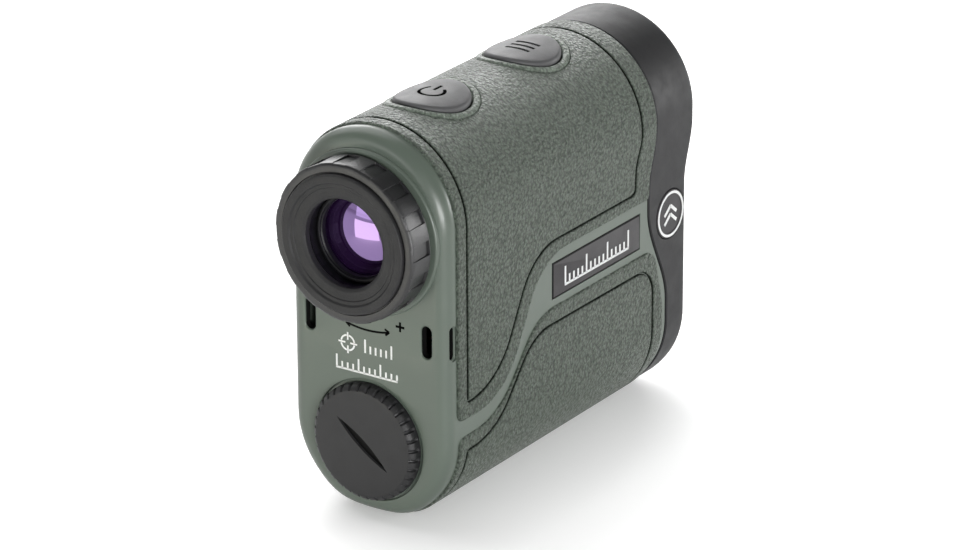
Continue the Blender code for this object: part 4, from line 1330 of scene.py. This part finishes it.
def make_cap():
    """The notched cap, with its coin slot."""
    profile = [
        (0, -2.3), (4.0, -2.3), (8.0, -2.3), (9.9, -2.3), (10.2, -2.27), (10.4, -2.18), (10.65, -1.98),
        (10.9, -1.75), (11.1, -1.5), (11.2, -1.25), (11.2, -0.9), (11.2, -0.5), (11.2, -0.2), (11.2, 0.2),
        (9.05, 0.2), (9.05, 3.5), (8.1, 3.5), (8.1, -1.0), (0, -1.0),
    ]
    profile = [(radius * MM, y * MM) for radius, y in profile]
    body = turned_mesh(profile, BATTERY_Z, NOTCHES * 10, cap_relief)
    cut = ((-0.25, 0.8), (-0.05, 0.45), (0, 0.08), (0.06, 0), (0.06, -1))
    layers = [(coin_slot(grow * MM), CAP_TOP + depth * MM) for grow, depth in cut]
    made = settle("door_battery", carved(body, [stack(layers, "Y")]), CAP, "cap", 28)
    # Painted shade: the coin slot's floor and deeper walls get the near-black recess material.
    darken(made.data, in_coin_slot)
    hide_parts("battery_cap")


# Rear marks

CROSSHAIR = (-4.4 * MM, 32.9 * MM)
PLUS = (7.1 * MM, 38.5 * MM)
PRINT_STROKE = 0.36 * MM
ARROW_STROKE = 0.40 * MM
ARROW_HEAD = 1.1 * MM


def make_rear_scale():
    """A white crosshair with a short scale beside it and a long one below."""
    starts = (10, 100, 190, 280)
    marks = [ring_strip(CROSSHAIR, 1.45 * MM, 0.34 * MM, start, start + 70, 14) for start in starts]
    marks += [spoke(CROSSHAIR, turn, 0.55 * MM, 2.05 * MM, 0.32 * MM) for turn in (0, 90, 180, 270)]
    heights = [(2.6 if i in (0, 5) else 1.5) * MM for i in range(6)]
    marks += ticks(-0.6 * MM, 1.15 * MM, 31.75 * MM, heights, PRINT_STROKE)
    heights = [(2.5 if i % 4 == 0 else 1.3) * MM for i in range(12)]
    marks += ticks(-6.9 * MM, 1.2 * MM, 27.7 * MM, heights, PRINT_STROKE)
    marks.append(bar(-7.08 * MM, 27.7 * MM, 6.48 * MM, 27.7 * MM, PRINT_STROKE))
    strokes("rear_scale", marks, "Y", -0.04 * MM, 0.02 * MM, WHITE_INK, "green_shell")


def make_rear_arrow():
    """The dark focus arrow below the eyepiece, with a head at each end, and its plus sign."""
    sweep = arc((0, EYE_Z), 18.9 * MM, 270 - 14.5, 270 + 14.5, 24)
    marks = [bar(*start, *end, ARROW_STROKE) for start, end in zip(sweep, sweep[1:])]
    marks += [spoke(sweep[0], turn, 0, ARROW_HEAD, ARROW_STROKE) for turn in (25, -40)]
    marks += [spoke(sweep[-1], 180 - turn, 0, ARROW_HEAD, ARROW_STROKE) for turn in (25, -40)]
    marks += [spoke(PLUS, turn, -0.95 * MM, 0.95 * MM, 0.46 * MM) for turn in (0, 90)]
    strokes("rear_arrow", marks, "Y", -0.012 * MM, 0.02 * MM, BLACK_INK, "green_shell")


# Studio

AIM = (0, 0, 0.035)
LIGHTS = (
    ("key_left", (-0.55, 0.20, 0.80), (1.0, 1.0), 8.0),
    ("front_left", (-0.56, 0.83, 0.42), (0.80, 0.50), 8.0),
    ("front_right", (0.64, 0.78, 0.14), (0.45, 0.14), 4.0),
    ("rear_right", (0.72, -0.62, 0.06), (0.45, 0.26), 9.6),
    ("rear_left", (-0.30, -0.85, 0.10), (0.45, 0.25), 0.6),
)
HALF_LENGTH = 30 * MM
SHADE_REACH = 32 * MM


def area_light(name, location, target, size, power, colour=(1, 1, 1)):
    data = bpy.data.lights.new(name, "AREA")
    data.shape = "RECTANGLE"
    data.size, data.size_y = size
    data.energy = power
    data.color = colour
    made = linked(name, data)
    made.location = location
    made.rotation_euler = (Vector(target) - Vector(location)).to_track_quat("-Z", "Y").to_euler()
    return made


def make_world():
    """A white band round the horizon, a dim ceiling and a dim underside."""
    world = bpy.data.worlds.new("studio")
    bpy.context.scene.world = world
    world.use_nodes = True
    tree = world.node_tree
    direction = tree.nodes.new("ShaderNodeTexCoord").outputs["Generated"]
    split = tree.nodes.new("ShaderNodeSeparateXYZ")
    tree.links.new(direction, split.inputs[0])
    ramp = tree.nodes.new("ShaderNodeValToRGB")
    stops = ramp.color_ramp.elements
    stops[0].position = 0.46
    stops[0].color = (0.05, 0.05, 0.05, 1)
    stops[1].position = 1.0
    stops[1].color = (0.10, 0.10, 0.10, 1)
    for position, level in ((0.49, 1.1), (0.57, 1.1), (0.66, 0.05)):
        stop = stops.new(position)
        stop.color = (level, level, level, 1)
    share = tree.nodes.new("ShaderNodeMapRange")
    share.inputs["From Min"].default_value = -1
    tree.links.new(split.outputs["Z"], share.inputs["Value"])
    tree.links.new(share.outputs[0], ramp.inputs[0])
    tree.links.new(ramp.outputs[0], tree.nodes["Background"].inputs["Color"])
    tree.nodes["Background"].inputs["Strength"].default_value = 1.0


def floor_material():
    """A white table that glows, its glow weakened towards the line that the body stands on as a painted
    contact shadow.
    """
    n = Nodes("studio_floor")
    n.set("Base Color", n.blend(n.noise(0.5, 2.0), (0.86, 0.86, 0.86), (0.88, 0.88, 0.88)))
    n.set("Roughness", 0.9)
    n.set("Specular IOR Level", 0.1)
    n.set("Emission Color", (1.0, 1.0, 1.0))
    split = n.add("ShaderNodeSeparateXYZ", {0: n.coordinates})
    ahead = n.math("MAXIMUM", n.math("SUBTRACT", n.math("ABSOLUTE", split.outputs["Y"]), HALF_LENGTH), 0.0)
    across = split.outputs["X"]
    near = n.math("SQRT", n.math("ADD", n.math("MULTIPLY", ahead, ahead), n.math("MULTIPLY", across, across)))
    # Painted contact shadow: the glow falls from 0.62 far off to 0.20 at the body's foot line.
    n.set("Emission Strength", n.span(near, 0, SHADE_REACH, 0.20, 0.62))
    return n.material


def make_studio():
    """A white table under a large key, with softboxes at the four corners and a small card that only the
    eyepiece's lens shows."""
    bpy.context.scene.view_settings.view_transform = "Standard"
    make_world()
    bm = bmesh.new()
    bmesh.ops.create_grid(bm, x_segments=2, y_segments=2, size=4.0)
    mesh = bpy.data.meshes.new("floor")
    bm.to_mesh(mesh)
    bm.free()
    mesh.materials.append(floor_material())
    floor = linked("floor", mesh)
    floor.visible_diffuse = False
    for name, location, size, power in LIGHTS:
        area_light(name, location, AIM, size, power)
    eye = (0, -0.045, EYE_Z)
    card = area_light("eyepiece_card", (-0.055, -0.17, 0.012), eye, (0.07, 0.06), 0.045, (0.95, 0.92, 0.74))
    card.visible_camera = False


CAMERA_TARGET = Vector((-4.03, 7.075, 30.90)) * MM
CAMERA_DISTANCE = 902.4 * MM
CAMERA_AZIMUTH = math.radians(33.93)
CAMERA_ELEVATION = math.radians(21.97)
CAMERA_ROLL = math.radians(-0.24)
SENSOR_WIDTH = 36
FOCAL_LENGTH = 177.56


def make_camera():
    a = CAMERA_AZIMUTH
    e = CAMERA_ELEVATION
    back = Vector((math.sin(a) * math.cos(e), -math.cos(a) * math.cos(e), math.sin(e)))
    right = Vector((math.cos(a), math.sin(a), 0))
    up = back.cross(right)
    level_right = math.cos(CAMERA_ROLL) * right + math.sin(CAMERA_ROLL) * up
    level_up = -math.sin(CAMERA_ROLL) * right + math.cos(CAMERA_ROLL) * up
    data = bpy.data.cameras.new("camera")
    data.sensor_width = SENSOR_WIDTH
    data.lens = FOCAL_LENGTH
    data.clip_start = 0.05
    data.clip_end = 20
    made = linked("camera", data)
    turn = Matrix((level_right, level_up, back)).transposed().to_4x4()
    made.matrix_world = Matrix.Translation(CAMERA_TARGET + back * CAMERA_DISTANCE) @ turn
    bpy.context.scene.camera = made


make_camera()
make_studio()
finish_cad_nodes()
make_armour()
make_shell()
make_bezel()
make_trim()
make_button("key_power", "power_button", POWER_Y, power_symbol(POWER_Y))
make_button("key_mode", "mode_button", MODE_Y, mode_symbol(MODE_Y))
make_eyepiece()
make_front_optics()
make_cap()
make_rear_scale()
make_rear_arrow()
